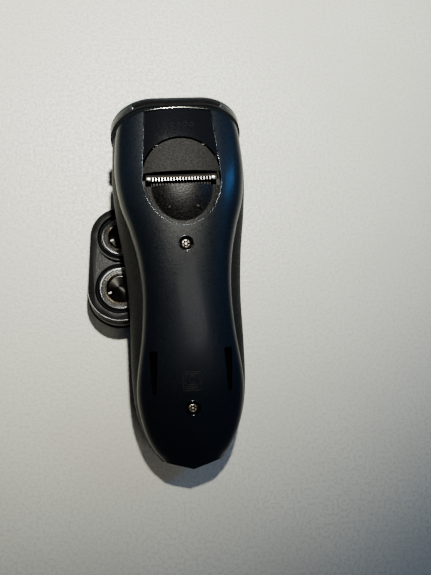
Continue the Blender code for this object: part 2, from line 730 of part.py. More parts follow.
def trimmer_panel(finish, strip_finish, head):
    """The smooth bezel between the head edge and the lid, and the bright strip at its end."""
    def half(back):
        share = (back + 6 * MM) / (DISC_BACK + 6 * MM)
        return WINDOW_TOP + (DISC + 0.4 * MM - WINDOW_TOP) * share - GAP

    strip_end = 0.1 * MM
    panel = patch("trimmer_panel", strip_end + GAP, LID_END_BACK, half,
                  lambda x, back: back_height(x, back) - 0.4 * MM,
                  lambda x, back: back_height(x, back) - 0.4 * MM - PANEL, finish, columns=12)
    cut(panel, rod("lid_hole", DISC + 0.8 * MM, 0, 90 * MM, sectors=64,
                   centre=(0, y_of(DISC_BACK))))
    strip = patch("trim_strip", -5 * MM, strip_end, half,
                  lambda x, back: back_height(x, back) + 0.1 * MM,
                  lambda x, back: back_height(x, back) - WALL, strip_finish, rows=3, columns=10)
    cut(strip, head_cutter(head, SKIRT + GAP))


def hinge_height():
    return crown(HINGE_BACK) - HINGE_DEPTH


def trimmer_lid(finish):
    """The matt half disc that swings out, with the arms that its pin runs through."""
    lid = patch("trimmer_lid", DISC_BACK - DISC, LID_END_BACK,
                lambda back: disc_half(back, DISC, DISC),
                lambda x, back: back_height(x, back) - 0.5 * MM,
                lambda x, back: back_height(x, back) - 0.5 * MM - LID, finish)
    reach = HINGE_PIN + 1 * MM
    arm_low = hinge_height() - reach
    for side in (-1, 1):
        x = side * 5 * MM
        arm = box("arm", (x - 1.5 * MM, y_of(HINGE_BACK + 3 * MM), arm_low),
                  (x + 1.5 * MM, y_of(HINGE_BACK) + reach, crown(HINGE_BACK) - 1.2 * MM))
        join(lid, arm)
    first = LID_END_BACK - 7 * MM
    shelf = box("shelf", (-12 * MM, y_of(LID_END_BACK - 0.6 * MM), comb_height() + GAP),
                (12 * MM, y_of(first), crown(first) - 1.2 * MM))
    join(lid, shelf)
    hole = rod("pin_hole", HINGE_PIN + 0.1 * MM, -HINGE_SPAN, HINGE_SPAN, sectors=12)
    hole.matrix_world = hinge_matrix()
    cut(lid, hole)
    return lid


def hinge_matrix():
    place = Matrix.Translation((0, y_of(HINGE_BACK), hinge_height()))
    return place @ Matrix.Rotation(math.pi / 2, 4, "Y")


def hinge_pin(finish):
    ends = HINGE_SPAN - 0.6 * MM
    pin = rod("trimmer_hinge_pin", HINGE_PIN, -ends, ends, finish, sectors=12)
    pin.matrix_world = hinge_matrix()


def comb_height():
    return crown(LID_END_BACK) - COMB_LEVEL


def comb_outline(half, teeth, first_back, root_back, tip_back):
    """A flat plate with square teeth that point towards the tail, broad ones at both ends."""
    end = 1.9 * MM
    pitch = (2 * half - 2 * end) / teeth
    gap = pitch * 0.45
    outline = [(half, y_of(first_back)), (-half, y_of(first_back)), (-half, y_of(tip_back)),
               (-half + end, y_of(tip_back))]
    for k in range(teeth):
        left = -half + end + k * pitch
        outline += [(left, y_of(root_back)), (left + gap, y_of(root_back)),
                    (left + gap, y_of(tip_back)), (left + pitch, y_of(tip_back))]
    outline[-1] = (half, y_of(tip_back))
    return outline


def trimmer_blades(comb_finish, blade_finish):
    level = comb_height()
    plate = 0.5 * MM
    first = LID_END_BACK - 5.4 * MM
    comb = prism("trimmer_comb", comb_outline(COMB_HALF, COMB_TEETH, first, 31.0 * MM, 33.6 * MM),
                 level - plate, level, comb_finish)
    blade_high = level - plate - 0.1 * MM
    blade = prism("trimmer_blade",
                  comb_outline(COMB_HALF - 1.5 * MM, COMB_TEETH - 4, first + 0.8 * MM, 31.0 * MM,
                               33.0 * MM), blade_high - plate, blade_high, blade_finish)
    return comb, blade


def slide_height(x, back):
    """The slide's thumb dome stands up at its top middle and falls below the cover all round."""
    away = math.hypot(x, (back - SLIDE_START_BACK) * DOME_SQUASH)
    share = min(max((away - DOME_FLAT) / DOME_FALL, 0), 1)
    fall = share * share * (3 - 2 * share)
    return back_height(x, back) + DOME_PROUD - (WALL + DOME_PROUD + 0.45 * MM) * fall


def trimmer_slide(finish):
    """The thumb pad that lets the lid go, with the stem that guides it in the cradle."""
    reach = SLIDE_REACH - RUN
    slide = patch("trimmer_slide", SLIDE_START_BACK, DISC_BACK + reach - 0.1 * MM,
                  lambda back: disc_half(back, DISC, reach), slide_height,
                  lambda x, back: slide_height(x, back) - SLIDE, finish, rows=10, columns=10)
    back = 44 * MM
    stem = box("stem", (-4 * MM, y_of(back + 2 * MM), cradle_floor() + 1 * MM),
               (4 * MM, y_of(back - 2 * MM), slide_height(4 * MM, back + 2 * MM) - 0.5 * MM))
    join(slide, stem)
    return slide


def cradle_floor():
    return crown(DISC_BACK + SLIDE_REACH) - CRADLE_DEPTH


def cradle_outline(wall):
    """The window's outline from inside, with a flat end towards the head."""
    outline = window_outline(wall, 12)
    for k in (0, -1):
        outline[k] = (math.copysign(DISC + 0.4 * MM + wall, outline[k][0]), y_of(12.8 * MM - wall))
    return outline


def trimmer_cradle(finish):
    """The tray that closes the window from inside and carries the hinge pin in open saddles."""
    floor = cradle_floor()
    roof = back_height(DISC, DISC_BACK) - WALL - 2.1 * MM
    tray = prism("trimmer_cradle", cradle_outline(1.2 * MM), floor - 1.2 * MM, roof, finish)
    cut(tray, prism("tray_inside", cradle_outline(0), floor, roof + 10 * MM))
    for side in (-1, 1):
        x = side * 12.4 * MM
        join(tray, box("post", (x - 0.8 * MM, y_of(HINGE_BACK + 1.3 * MM), floor - 0.5 * MM),
                       (x + 0.8 * MM, y_of(HINGE_BACK - 1.5 * MM), hinge_height() + 0.1 * MM)))
    seat = rod("pin_seat", HINGE_PIN + 0.05 * MM, -HINGE_SPAN, HINGE_SPAN, sectors=12)
    seat.matrix_world = hinge_matrix()
    cut(tray, seat)
    return tray


# ---- Head end: chamber, gears, motor -----------------------------------------------------------
def hair_chamber(finish, bar_finish, head):
    """The rim and floor that the shaving unit clips onto, and the bar that releases it."""
    chamber = prism("hair_chamber", head_outline(), -SKIRT, 0, finish, head)
    cut(chamber, prism("inside", head_outline(CHAMBER_WALL), -SKIRT + CHAMBER_FLOOR, 5 * MM,
                       parent=head))
    for centre in SPINDLES:
        cut(chamber, rod("spindle_hole", SPINDLE_TIP + 0.35 * MM, -2 * SKIRT, 5 * MM, parent=head,
                         sectors=20, centre=centre))
    floor = -SKIRT + CHAMBER_FLOOR
    run_off = RELEASE_HALF - RIM_CORNER_X
    drop = RIM_CORNER - math.sqrt(RIM_CORNER**2 - run_off**2)
    inner = -RIM_FLAT + drop + 1.15 * CHAMBER_WALL
    outside = -RIM_FLAT - 5 * MM
    cut(chamber, box("bar_notch", (-RELEASE_HALF, outside, floor),
                     (RELEASE_HALF, inner + 1.4 * MM, -LIP), parent=head))
    bar = prism("release_button", head_outline(), floor + GAP, -LIP - GAP, bar_finish, head)
    cut(bar, prism("bar_inside", head_outline(CHAMBER_WALL), -2 * SKIRT, 5 * MM, parent=head))
    ends = RELEASE_HALF - GAP
    boolean(bar, box("bar_keep", (-ends, outside, -2 * SKIRT), (ends, inner, 5 * MM), parent=head),
            "INTERSECT")
    return chamber


def gears(finish, steel, head):
    """The centre gear drives three spindle gears, and the motor's pinion drives the centre gear."""
    low = -GEAR_TOP - GEAR_WIDTH
    centre_low = pinion_high() - PINION_LENGTH
    centre = prism("centre_gear", gear_outline(CENTRE_TEETH), centre_low, -GEAR_TOP, finish, head)
    cut(centre, rod("bore", SHAFT + 0.05 * MM, 3 * centre_low, 1, sectors=16, parent=head))
    for number, (turn, place) in enumerate(zip(SPINDLE_TURNS, SPINDLES), 1):
        phase = meshed_phase(0, CENTRE_TEETH, turn, SPINDLE_TEETH)
        arbor = frame(f"spindle_axis_{number}", Matrix.Translation((*place, 0)), head)
        gear = prism(f"spindle_gear_{number}", gear_outline(SPINDLE_TEETH, phase), low, -GEAR_TOP,
                     finish, arbor)
        join(gear, rod("hub", SHAFT, low - PLATE - 0.6 * MM, -SKIRT + CHAMBER_FLOOR, parent=arbor,
                       sectors=16))
        spindle_tip(number, arbor, steel)
    axis = frame("motor_axis", Matrix.Translation((0, PINION_OFFSET, 0)), head)
    phase = meshed_phase(0, CENTRE_TEETH, math.pi / 2, PINION_TEETH)
    pinion = prism("motor_pinion", gear_outline(PINION_TEETH, phase, thin=0.8),
                   centre_low, pinion_high(), steel, axis)
    join(pinion, rod("shaft", 0.9 * MM, motor_front() - 2 * MM, centre_low + 1 * MM, parent=axis,
                     sectors=16))


def spindle_tip(number, arbor, finish):
    """A hollow drive cap that telescopes on its gear's shaft."""
    low = -SKIRT + CHAMBER_FLOOR - 1.6 * MM
    high = 0.8 * MM
    bore = SHAFT + 0.08 * MM
    tip = turned(f"drive_spindle_{number}",
                 [(bore, low), (SPINDLE_TIP - 0.2 * MM, low), (SPINDLE_TIP - 0.2 * MM, -LIP),
                  (SPINDLE_TIP, -LIP), (SPINDLE_TIP, high - 0.8 * MM), (1.5 * MM, high),
                  (0, high), (0, -1.6 * MM), (bore, -1.6 * MM)], finish, arbor, sectors=16)
    return tip


def pinion_high():
    """The pinion's upper face, clear of the gear plate and of the spindle shafts below it."""
    return -GEAR_TOP - GEAR_WIDTH - PLATE - 1.0 * MM


def motor_front():
    return pinion_high() - PINION_LENGTH - 2.2 * MM


def motor(finish, plate_finish, head):
    front = motor_front()
    axis = (0, PINION_OFFSET)
    can = turned("motor", [(1.2 * MM, front), (MOTOR_RADIUS - 0.8 * MM, front),
                           (MOTOR_RADIUS, front - 0.8 * MM),
                           (MOTOR_RADIUS, front - MOTOR_LENGTH + 0.8 * MM),
                           (MOTOR_RADIUS - 0.8 * MM, front - MOTOR_LENGTH),
                           (0, front - MOTOR_LENGTH), (0, front - 4 * MM),
                           (1.2 * MM, front - 4 * MM)], finish, head, centre=axis)
    plate_high = -GEAR_TOP - GEAR_WIDTH - 0.5 * MM
    plate = prism("gear_plate", round_triangle(SPINDLES, [4 * MM] * 3, 5), plate_high - PLATE,
                  plate_high, plate_finish, head)
    cut(plate, rod("centre_hole", MODULE * CENTRE_TEETH / 2 + 1.4 * MM, -1, 1, parent=head))
    for place in SPINDLES:
        cut(plate, rod("shaft_hole", SHAFT + 0.06 * MM, -1, 1, parent=head, sectors=16,
                       centre=place))
    low = front + GAP
    middle = 2 * MM
    mount = prism("motor_mount", circle(12.6 * MM, (0, middle)), low, low + 1.2 * MM, plate_finish,
                  head)
    for angle in (12, 168, 270):
        turn = math.radians(angle)
        place = (11 * MM * math.cos(turn), middle + 11 * MM * math.sin(turn))
        join(mount, rod("post", 1.5 * MM, low + 0.4 * MM, plate_high - PLATE - GAP, parent=head,
                        sectors=12, centre=place))
    join(mount, rod("centre_post", SHAFT, low + 0.4 * MM, -GEAR_TOP, parent=head, sectors=16))
    cut(mount, rod("shaft_hole", 1.4 * MM, -1, low + 3 * MM, parent=head, sectors=16, centre=axis))
    return can


# ---- Shaving unit ------------------------------------------------------------------------------
UNIT_TURNS = [math.radians(a) for a in (0, 120, 240)]
UNIT_PLACES = [(SPINDLE_CIRCLE * math.cos(a), SPINDLE_CIRCLE * math.sin(a)) for a in UNIT_TURNS]


def unit_outline(radius, steps=8):
    return round_triangle(UNIT_PLACES, [radius] * 3, steps)


def unit_frames():
    """The unit's own frame on the table, and the leaning one of its top."""
    place = Matrix.Translation((UNIT_X, y_of(UNIT_BACK), 0)) @ Matrix.Rotation(UNIT_TURN, 4, "Z")
    unit = frame("unit_frame_axis", place)
    lean = Matrix.Rotation(-UNIT_TURN, 4, "Z") @ Matrix.Rotation(-FRAME_LEAN, 4, "X")
    lean = lean @ Matrix.Rotation(UNIT_TURN, 4, "Z")
    lift = Matrix.Translation((0, 0, LEAN_PIVOT))
    return unit, frame("leaning_axis", lift @ lean @ lift.inverted(), unit)


def unit_base(finish, band_finish, unit, lean):
    base = prism("unit_base", unit_outline(UNIT_LOBE), 0, UNIT_BASE, finish, unit)
    cut(base, prism("inside", unit_outline(UNIT_LOBE - UNIT_WALL), -1 * MM, UNIT_BASE - UNIT_WALL,
                    parent=unit))
    cut(base, prism("throat", unit_outline(8 * MM, 5), -1 * MM, 2 * UNIT_BASE, parent=unit))
    low = UNIT_BASE + GAP
    band = prism("unit_band", unit_outline(BAND_LOBE, 7), low, 2 * FRAME_LOW, band_finish, unit)
    cut(band, prism("inside", unit_outline(BAND_LOBE - UNIT_WALL, 7), 0, 40 * MM, parent=unit))
    far = 60 * MM
    cut(band, box("above", (-far, -far, FRAME_LOW - GROOVE), (far, far, far), parent=lean))
    return base


def unit_frame(finish, lean):
    """The frame that holds the heads: a skirt, a top plate and a splayed collar round each head."""
    body = prism("cutter_frame", unit_outline(FRAME_LOBE), FRAME_LOW, FRAME_HIGH, finish, lean)
    cut(body, prism("inside", unit_outline(FRAME_LOBE - UNIT_WALL), 0, FRAME_HIGH - 1.4 * MM,
                    parent=lean))
    heads = [head_axis(number, lean) for number in (1, 2, 3)]
    for axis in heads:
        join(body, rod("collar", HEAD_BORE + COLLAR_WALL, -COLLAR_HEIGHT, 0, parent=axis))
    for axis in heads:
        cut(body, rod("bore", HEAD_BORE, -9 * MM, 9 * MM, parent=axis, sectors=26))
    return body, heads


def head_axis(number, lean):
    """The frame of one shaving head, its Z along the cutter's axis."""
    turn = UNIT_TURNS[number - 1]
    place = Matrix.Translation((*UNIT_PLACES[number - 1], FRAME_HIGH + HEAD_RAISE))
    splay = Matrix.Rotation(turn, 4, "Z") @ Matrix.Rotation(HEAD_SPLAY, 4, "Y")
    return frame(f"head_axis_{number}", place @ splay @ Matrix.Rotation(-turn, 4, "Z"), lean)


def shaving_head(number, axis, black, silver, cap_finish, steel):
    turned(f"head_ring_{number}",
           [(RING_INNER, -2.6 * MM), (RING_OUTER, -2.6 * MM), (RING_OUTER, -0.7 * MM),
            (RING_OUTER - 0.6 * MM, -0.1 * MM), (RING_INNER, -0.1 * MM)],
           black, axis)
    top = 1.0 * MM
    low = top - GUARD_HEIGHT
    turned(f"guard_{number}",
           [(GUARD_OUTER, low), (GUARD_OUTER, top - 1.0 * MM), (GUARD_OUTER - 0.9 * MM, top),
            (GUARD_INNER + 0.5 * MM, top), (GUARD_INNER, top - 0.5 * MM), (GUARD_INNER, top - 1.4 * MM),
            (GUARD_INNER + GUARD_WALL, top - 1.4 * MM), (GUARD_INNER + GUARD_WALL, top - GUARD_WALL),
            (GUARD_OUTER - GUARD_WALL, top - GUARD_WALL),
            (GUARD_OUTER - GUARD_WALL, low)], silver, axis)
    turned(f"head_cap_{number}",
           [(0, top - 1.4 * MM), (CAP_RADIUS, top - 1.4 * MM), (CAP_RADIUS, top - 0.7 * MM),
            (CAP_RADIUS - 0.6 * MM, top - 0.3 * MM), (0, top - 0.1 * MM)],
           cap_finish, axis, sectors=20)
    cutter(number, axis, steel, top)


def cutter(number, axis, finish, top):
    """A star of lifting blades that turns under the guard's slotted ring."""
    high = top - 1.4 * MM - GAP
    step = 2 * math.pi / CUTTER_BLADES
    outline = []
    for k in range(CUTTER_BLADES):
        for radius, turn in ((5.2 * MM, 0.0), (CUTTER_RADIUS, 0.18), (CUTTER_RADIUS, 0.45),
                             (5.2 * MM, 0.6)):
            angle = (k + turn) * step
            outline.append((radius * math.cos(angle), radius * math.sin(angle)))
    star = prism(f"cutter_{number}", outline, high - 1.0 * MM, high, finish, axis)
    join(star, rod("hub", 3.4 * MM, high - 4.6 * MM, high - 0.2 * MM, parent=axis, sectors=16))
    cut(star, prism("drive_socket", circle(2.3 * MM, sectors=3), high - 9 * MM, high - 2.2 * MM,
                    parent=axis))


def retaining_plate(finish, lean):
    """The spider that holds the three cutters up in their guards, turned by its middle knob."""
    level = FRAME_HIGH - 6.6 * MM
    plate = prism("retaining_plate", unit_outline(6.2 * MM, 5), level - 1.2 * MM, level, finish, lean)
    for place in UNIT_PLACES:
        cut(plate, rod("eye", 4.4 * MM, 0, 2 * FRAME_HIGH, parent=lean, sectors=18, centre=place))
    return plate


def main():
    clear_scene()
    gloss = material("blue_black_gloss", (0.012, 0.018, 0.027), 0.16)
    panel_gloss = material("black_gloss", (0.006, 0.007, 0.010), 0.12)
    texture = material("textured_black", (0.018, 0.018, 0.019), 0.62)
    matt = material("matt_charcoal", (0.075, 0.072, 0.072), 0.55)
    dark = material("black_plastic", (0.010, 0.010, 0.011), 0.4)
    slate = material("slate_paint", (0.10, 0.12, 0.14), 0.3)
    grey = material("grey_rubber", (0.13, 0.125, 0.12), 0.6)
    steel = material("steel", (0.62, 0.61, 0.58), 0.28, 1.0)
    silver = material("foil_steel", (0.72, 0.72, 0.74), 0.2, 1.0)
    chrome = material("chrome", (0.80, 0.79, 0.77), 0.12, 1.0)
    acetal = material("white_acetal", (0.75, 0.74, 0.70), 0.5)
    board_green = material("board_green", (0.02, 0.12, 0.05), 0.5)
    wrap = material("cell_wrap", (0.02, 0.16, 0.10), 0.4)
    lens = material("light_lens", (0.55, 0.75, 0.60), 0.2)
    smoke = material("smoked_cap", (0.10, 0.095, 0.085), 0.25, 0.6)

    head = head_frame()
    front_shell(texture, head)
    back_cover(gloss, head)
    screws(steel, dark)
    dock_pockets(dark)
    tail_cap(dark, chrome)
    batteries(wrap)
    circuit_board(board_green, dark)
    control_panel(panel_gloss)
    power_button(slate)
    charge_light(lens)

    trimmer_panel(panel_gloss, chrome, head)
    trimmer_lid(matt)
    hinge_pin(steel)
    trimmer_blades(chrome, steel)
    trimmer_slide(dark)
    trimmer_cradle(dark)

    hair_chamber(slate, matt, head)
    gears(acetal, steel, head)
    motor(steel, dark, head)

    unit, lean = unit_frames()
    unit_base(dark, grey, unit, lean)
    _, heads = unit_frame(dark, lean)
    for number, axis in enumerate(heads, 1):
        shaving_head(number, axis, dark, silver, smoke, steel)
    retaining_plate(acetal, lean)


main()
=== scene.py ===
"""Looks of the rotary shaver: finer casings, trimmer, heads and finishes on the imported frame.

Metres, +Z up; +Y runs along the handle towards its head end, and the origin is on the table under
the chin. Distances called "back" are measured from the back cover's head edge towards the tail.
"""

import json
import math

import bmesh
import bpy
import numpy as np
from mathutils import Matrix, Vector


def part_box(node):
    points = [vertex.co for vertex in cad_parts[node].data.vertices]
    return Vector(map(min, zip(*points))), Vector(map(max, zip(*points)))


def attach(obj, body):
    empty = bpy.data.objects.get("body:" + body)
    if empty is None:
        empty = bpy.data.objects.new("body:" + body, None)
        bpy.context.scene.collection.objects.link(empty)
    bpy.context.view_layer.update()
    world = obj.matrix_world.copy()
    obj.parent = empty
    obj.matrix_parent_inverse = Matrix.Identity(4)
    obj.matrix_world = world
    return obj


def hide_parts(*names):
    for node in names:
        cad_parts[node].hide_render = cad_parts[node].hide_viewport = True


MM = 0.001
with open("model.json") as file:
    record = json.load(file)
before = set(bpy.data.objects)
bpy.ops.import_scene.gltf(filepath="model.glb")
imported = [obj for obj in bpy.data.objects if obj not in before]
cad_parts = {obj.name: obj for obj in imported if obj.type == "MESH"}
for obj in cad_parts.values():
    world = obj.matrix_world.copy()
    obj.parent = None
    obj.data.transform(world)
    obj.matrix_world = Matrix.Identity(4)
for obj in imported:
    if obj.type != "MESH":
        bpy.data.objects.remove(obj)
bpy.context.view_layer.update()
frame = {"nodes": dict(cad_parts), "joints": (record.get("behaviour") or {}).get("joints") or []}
JOINTS = {joint["name"]: joint for joint in frame["joints"]}

# ---- Sizes, the same as the frame's ------------------------------------------------------------
HANDLE_LENGTH = 162 * MM
GRIP_WIDTH = 52 * MM
HEAD_ZONE = 56 * MM
HEAD_EDGE_Y = 29 * MM
WALL = 2.0 * MM
GAP = 0.3 * MM
TAIL_SLOPE = 0.30
SKIRT = 5.8 * MM
LIP = 1.2 * MM
RIM_FLAT = 24.8 * MM
RIM_CORNER = 20 * MM
RIM_CORNER_X = 10.3 * MM
CHIN_LOBE = 17 * MM
RIM_WALL = 1.8 * MM
RIM_FLOOR = 1.4 * MM
RELEASE_HALF = 20 * MM
SPINDLE_CIRCLE = 15 * MM
SPINDLE_TIP = 2.3 * MM
DISC_BACK = 31.5 * MM
DISC = 17.3 * MM
SLIDE_REACH = 22 * MM
WINDOW_TOP = 14.6 * MM
LID_END_BACK = 29.6 * MM
SLIDE_START_BACK = 35.4 * MM
SCREW_HOLE = 3.2 * MM
SCREW_HEAD = 2.35 * MM
SCREW_BACKS = (61.5 * MM, HANDLE_LENGTH - 28.4 * MM)
SLOT_LENGTH = 19.2 * MM
SLOT_WIDE = 3.8 * MM
SLOT_NARROW = 1.8 * MM
SLOT_OUT = 16.7 * MM
SLOT_TAIL = 35.2 * MM
COMB_HALF = 16 * MM
COMB_LEVEL = 3.4 * MM
UNIT_LOBE = 16.13 * MM           # a hair inside the frame's, which has fewer sides
FRAME_LOBE = 15.6 * MM
BAND_LOBE = 15.3 * MM
UNIT_BASE = 3.6 * MM
FRAME_LOW = 9.4 * MM
FRAME_HIGH = 15.4 * MM
UNIT_TURN = math.radians(-5)
FRAME_LEAN = math.radians(8)
LEAN_PIVOT = 6 * MM
HEAD_BORE = 12.0 * MM
RING_OUTER = 11.7 * MM
RING_INNER = 10.75 * MM
GUARD_OUTER = 10.4 * MM
GUARD_INNER = 6.9 * MM
BUTTON = 6.5 * MM

# ---- Sizes of what only the looks have --------------------------------------------------------
HEAD_ARCH = 4.6                  # fall back of the casings' head edge is this times x squared
ROWS = 170                       # along the casings
SECTION = 30                     # points on each half of a casing's section
PLATE_DEPTH = 90 * MM            # tools that cut through the back reach up to here
FRONT_DEPTH = 40 * MM            # tools that cut through the front reach up to here
WINDOW_GAP = 0.4 * MM            # window beyond the disc
BEZEL_GAP = 0.95 * MM            # bezel's round end beyond the disc, for the lid to swing in
BUTTON_GAP = 0.4 * MM
LIGHT_HOLE = 1.6 * MM
MARK_HALF = 4.1 * MM
TOOTH_ROOT = 31.5 * MM           # back of the comb's teeth, and their ends
TOOTH_TIP = 32.8 * MM
TEETH = 20
FOIL_TOP = 1.0 * MM              # of the guards, above a head's own middle


def grip(share):
    return HEAD_ZONE + share * (HANDLE_LENGTH - HEAD_ZONE)


BUTTON_BACK = grip(0.2)
LIGHT_BACK = grip(0.36)
CROWN_LINE = [(-12 * MM, 53.2 * MM), (0, 54.5 * MM), (15 * MM, 56.0 * MM), (32 * MM, 56.8 * MM),
              (55 * MM, 55.8 * MM), (grip(0.23), 53.0 * MM), (grip(0.46), 48.0 * MM),
              (grip(0.65), 42.0 * MM), (grip(0.79), 35.6 * MM), (grip(0.90), 29.2 * MM),
              (grip(1.0), 22.4 * MM), (grip(1.1), 20 * MM)]
KEEL_LINE = [(-12 * MM, 5 * MM), (16 * MM, 4 * MM), (23 * MM, 1.6 * MM), (27 * MM, -0.8 * MM),
             (32 * MM, -0.8 * MM), (35.5 * MM, 4.5 * MM), (40 * MM, 14 * MM), (46 * MM, 20 * MM),
             (56 * MM, 22.6 * MM), (grip(0.16), 23.4 * MM), (grip(0.34), 22.6 * MM),
             (grip(0.44), 17 * MM), (grip(0.54), 8.5 * MM), (grip(0.64), 1.8 * MM),
             (grip(0.73), -0.6 * MM), (grip(0.82), 1 * MM), (grip(0.91), 5.0 * MM),
             (grip(1.0), 9.4 * MM), (grip(1.1), 11.5 * MM)]
EDGE_Z_LINE = [(-12 * MM, 47 * MM), (4 * MM, 45 * MM), (18 * MM, 43.6 * MM), (grip(0.22), 43 * MM),
               (grip(0.4), 40 * MM), (grip(0.52), 36.6 * MM), (grip(0.62), 33 * MM),
               (grip(0.72), 29 * MM), (grip(0.83), 25 * MM), (grip(0.92), 21.6 * MM),
               (grip(1.0), 18.6 * MM), (grip(1.1), 15.5 * MM)]
SIDE_Z_LINE = [(-12 * MM, 37.5 * MM), (10 * MM, 37 * MM), (35 * MM, 34 * MM), (grip(0.2), 33 * MM),
               (grip(0.4), 31 * MM), (grip(0.52), 28 * MM), (grip(0.62), 25 * MM),
               (grip(0.73), 22 * MM), (grip(0.84), 19.4 * MM), (grip(1.0), 16.4 * MM),
               (grip(1.1), 15.2 * MM)]
HALF_GRIP = GRIP_WIDTH / 2
EDGE_HALF_LINE = [(-12 * MM, 22 * MM), (0, 25.4 * MM), (6 * MM, 27.4 * MM), (15 * MM, 28.8 * MM),
                  (28 * MM, 29.4 * MM), (41 * MM, 27.8 * MM), (53 * MM, 24.4 * MM),
                  (grip(0.09), 0.83 * HALF_GRIP), (grip(0.24), 0.775 * HALF_GRIP),
                  (grip(0.41), 0.815 * HALF_GRIP), (grip(0.61), 0.935 * HALF_GRIP),
                  (grip(0.71), 0.935 * HALF_GRIP), (grip(0.83), 0.83 * HALF_GRIP),
                  (grip(0.91), 0.675 * HALF_GRIP), (grip(0.97), 0.49 * HALF_GRIP),
                  (grip(1.1), 0.3 * HALF_GRIP)]
SIDE_HALF_LINE = [(-12 * MM, 28.8 * MM), (4 * MM, 29.3 * MM), (18 * MM, 30.2 * MM),
                  (30 * MM, 30.8 * MM), (46 * MM, 29.6 * MM), (grip(0.07), 1.05 * HALF_GRIP),
                  (grip(0.26), 0.995 * HALF_GRIP), (grip(0.5), 1.01 * HALF_GRIP),
                  (grip(0.62), 1.01 * HALF_GRIP), (grip(0.73), 0.97 * HALF_GRIP),
                  (grip(0.83), 0.86 * HALF_GRIP), (grip(0.91), 0.70 * HALF_GRIP),
                  (grip(0.97), 0.53 * HALF_GRIP), (grip(1.1), 0.36 * HALF_GRIP)]
KEEL_POWER_LINE = [(-12 * MM, 1.35), (30 * MM, 1.45), (52 * MM, 2.3), (grip(0.4), 2.5),
                   (grip(0.7), 2.3), (grip(1.1), 2.2)]
CROWN_POWER = 2.5


def smooth(line, at):
    """Height of a smooth curve through the line's points, at one place along it."""
    at = min(max(at, line[0][0]), line[-1][0])
    spans = range(len(line) - 1)
    i = next(k for k in spans if at <= line[k + 1][0] or k == spans[-1])

    def slope(k):
        low, high = max(k - 1, 0), min(k + 1, len(line) - 1)
        return (line[high][1] - line[low][1]) / (line[high][0] - line[low][0])

    (x0, y0), (x1, y1) = line[i], line[i + 1]
    width = x1 - x0
    t = (at - x0) / width
    rise = (3 - 2 * t) * t * t
    leave = t * (1 - t) ** 2 * width * slope(i)
    arrive = -t * t * (1 - t) * width * slope(i + 1)
    return y0 + (y1 - y0) * rise + leave + arrive


def y_of(back):
    return HEAD_EDGE_Y - back


def crown(back):
    return smooth(CROWN_LINE, back)


def keel(back):
    return smooth(KEEL_LINE, back)


def back_height(x, back, sunk=0.0):
    edge = smooth(EDGE_Z_LINE, back)
    across = min(abs(x) / (smooth(EDGE_HALF_LINE, back) - sunk), 1.0)
    return edge + (crown(back) - sunk - edge) * (1 - across**CROWN_POWER) ** (1 / CROWN_POWER)


def front_height(x, back):
    power = smooth(KEEL_POWER_LINE, back)
    side = smooth(SIDE_Z_LINE, back)
    across = abs(x) / smooth(SIDE_HALF_LINE, back)
    return side - (side - keel(back)) * (1 - across**power) ** (1 / power)


# ---- Frames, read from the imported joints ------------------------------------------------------
def frame_of(origin, z_axis, y_hint):
    z = Vector(z_axis).normalized()
    x = Vector(y_hint).cross(z).normalized()
    y = z.cross(x)
    turned = Matrix((x, y, z)).transposed().to_4x4()
    return Matrix.Translation(origin) @ turned


HEAD = frame_of(JOINTS["centre_gear_spin"]["pos_m"], JOINTS["centre_gear_spin"]["axis"],
                JOINTS["release_press"]["axis"])
HINGE = Vector(JOINTS["trimmer_hinge"]["pos_m"])
UNIT = Matrix.Translation((-20.8 * MM, y_of(64.6 * MM), 0)) @ Matrix.Rotation(UNIT_TURN, 4, "Z")


def lean_frame():
    lean = Matrix.Rotation(-UNIT_TURN, 4, "Z") @ Matrix.Rotation(-FRAME_LEAN, 4, "X")
    lean = lean @ Matrix.Rotation(UNIT_TURN, 4, "Z")
    lift = Matrix.Translation((0, 0, LEAN_PIVOT))
    return UNIT @ lift @ lean @ lift.inverted()


LEAN = lean_frame()


def cutter_frame(number):
    joint = JOINTS[f"cutter_spin_{number}"]
    return frame_of(joint["pos_m"], joint["axis"], (0, 1, 0))


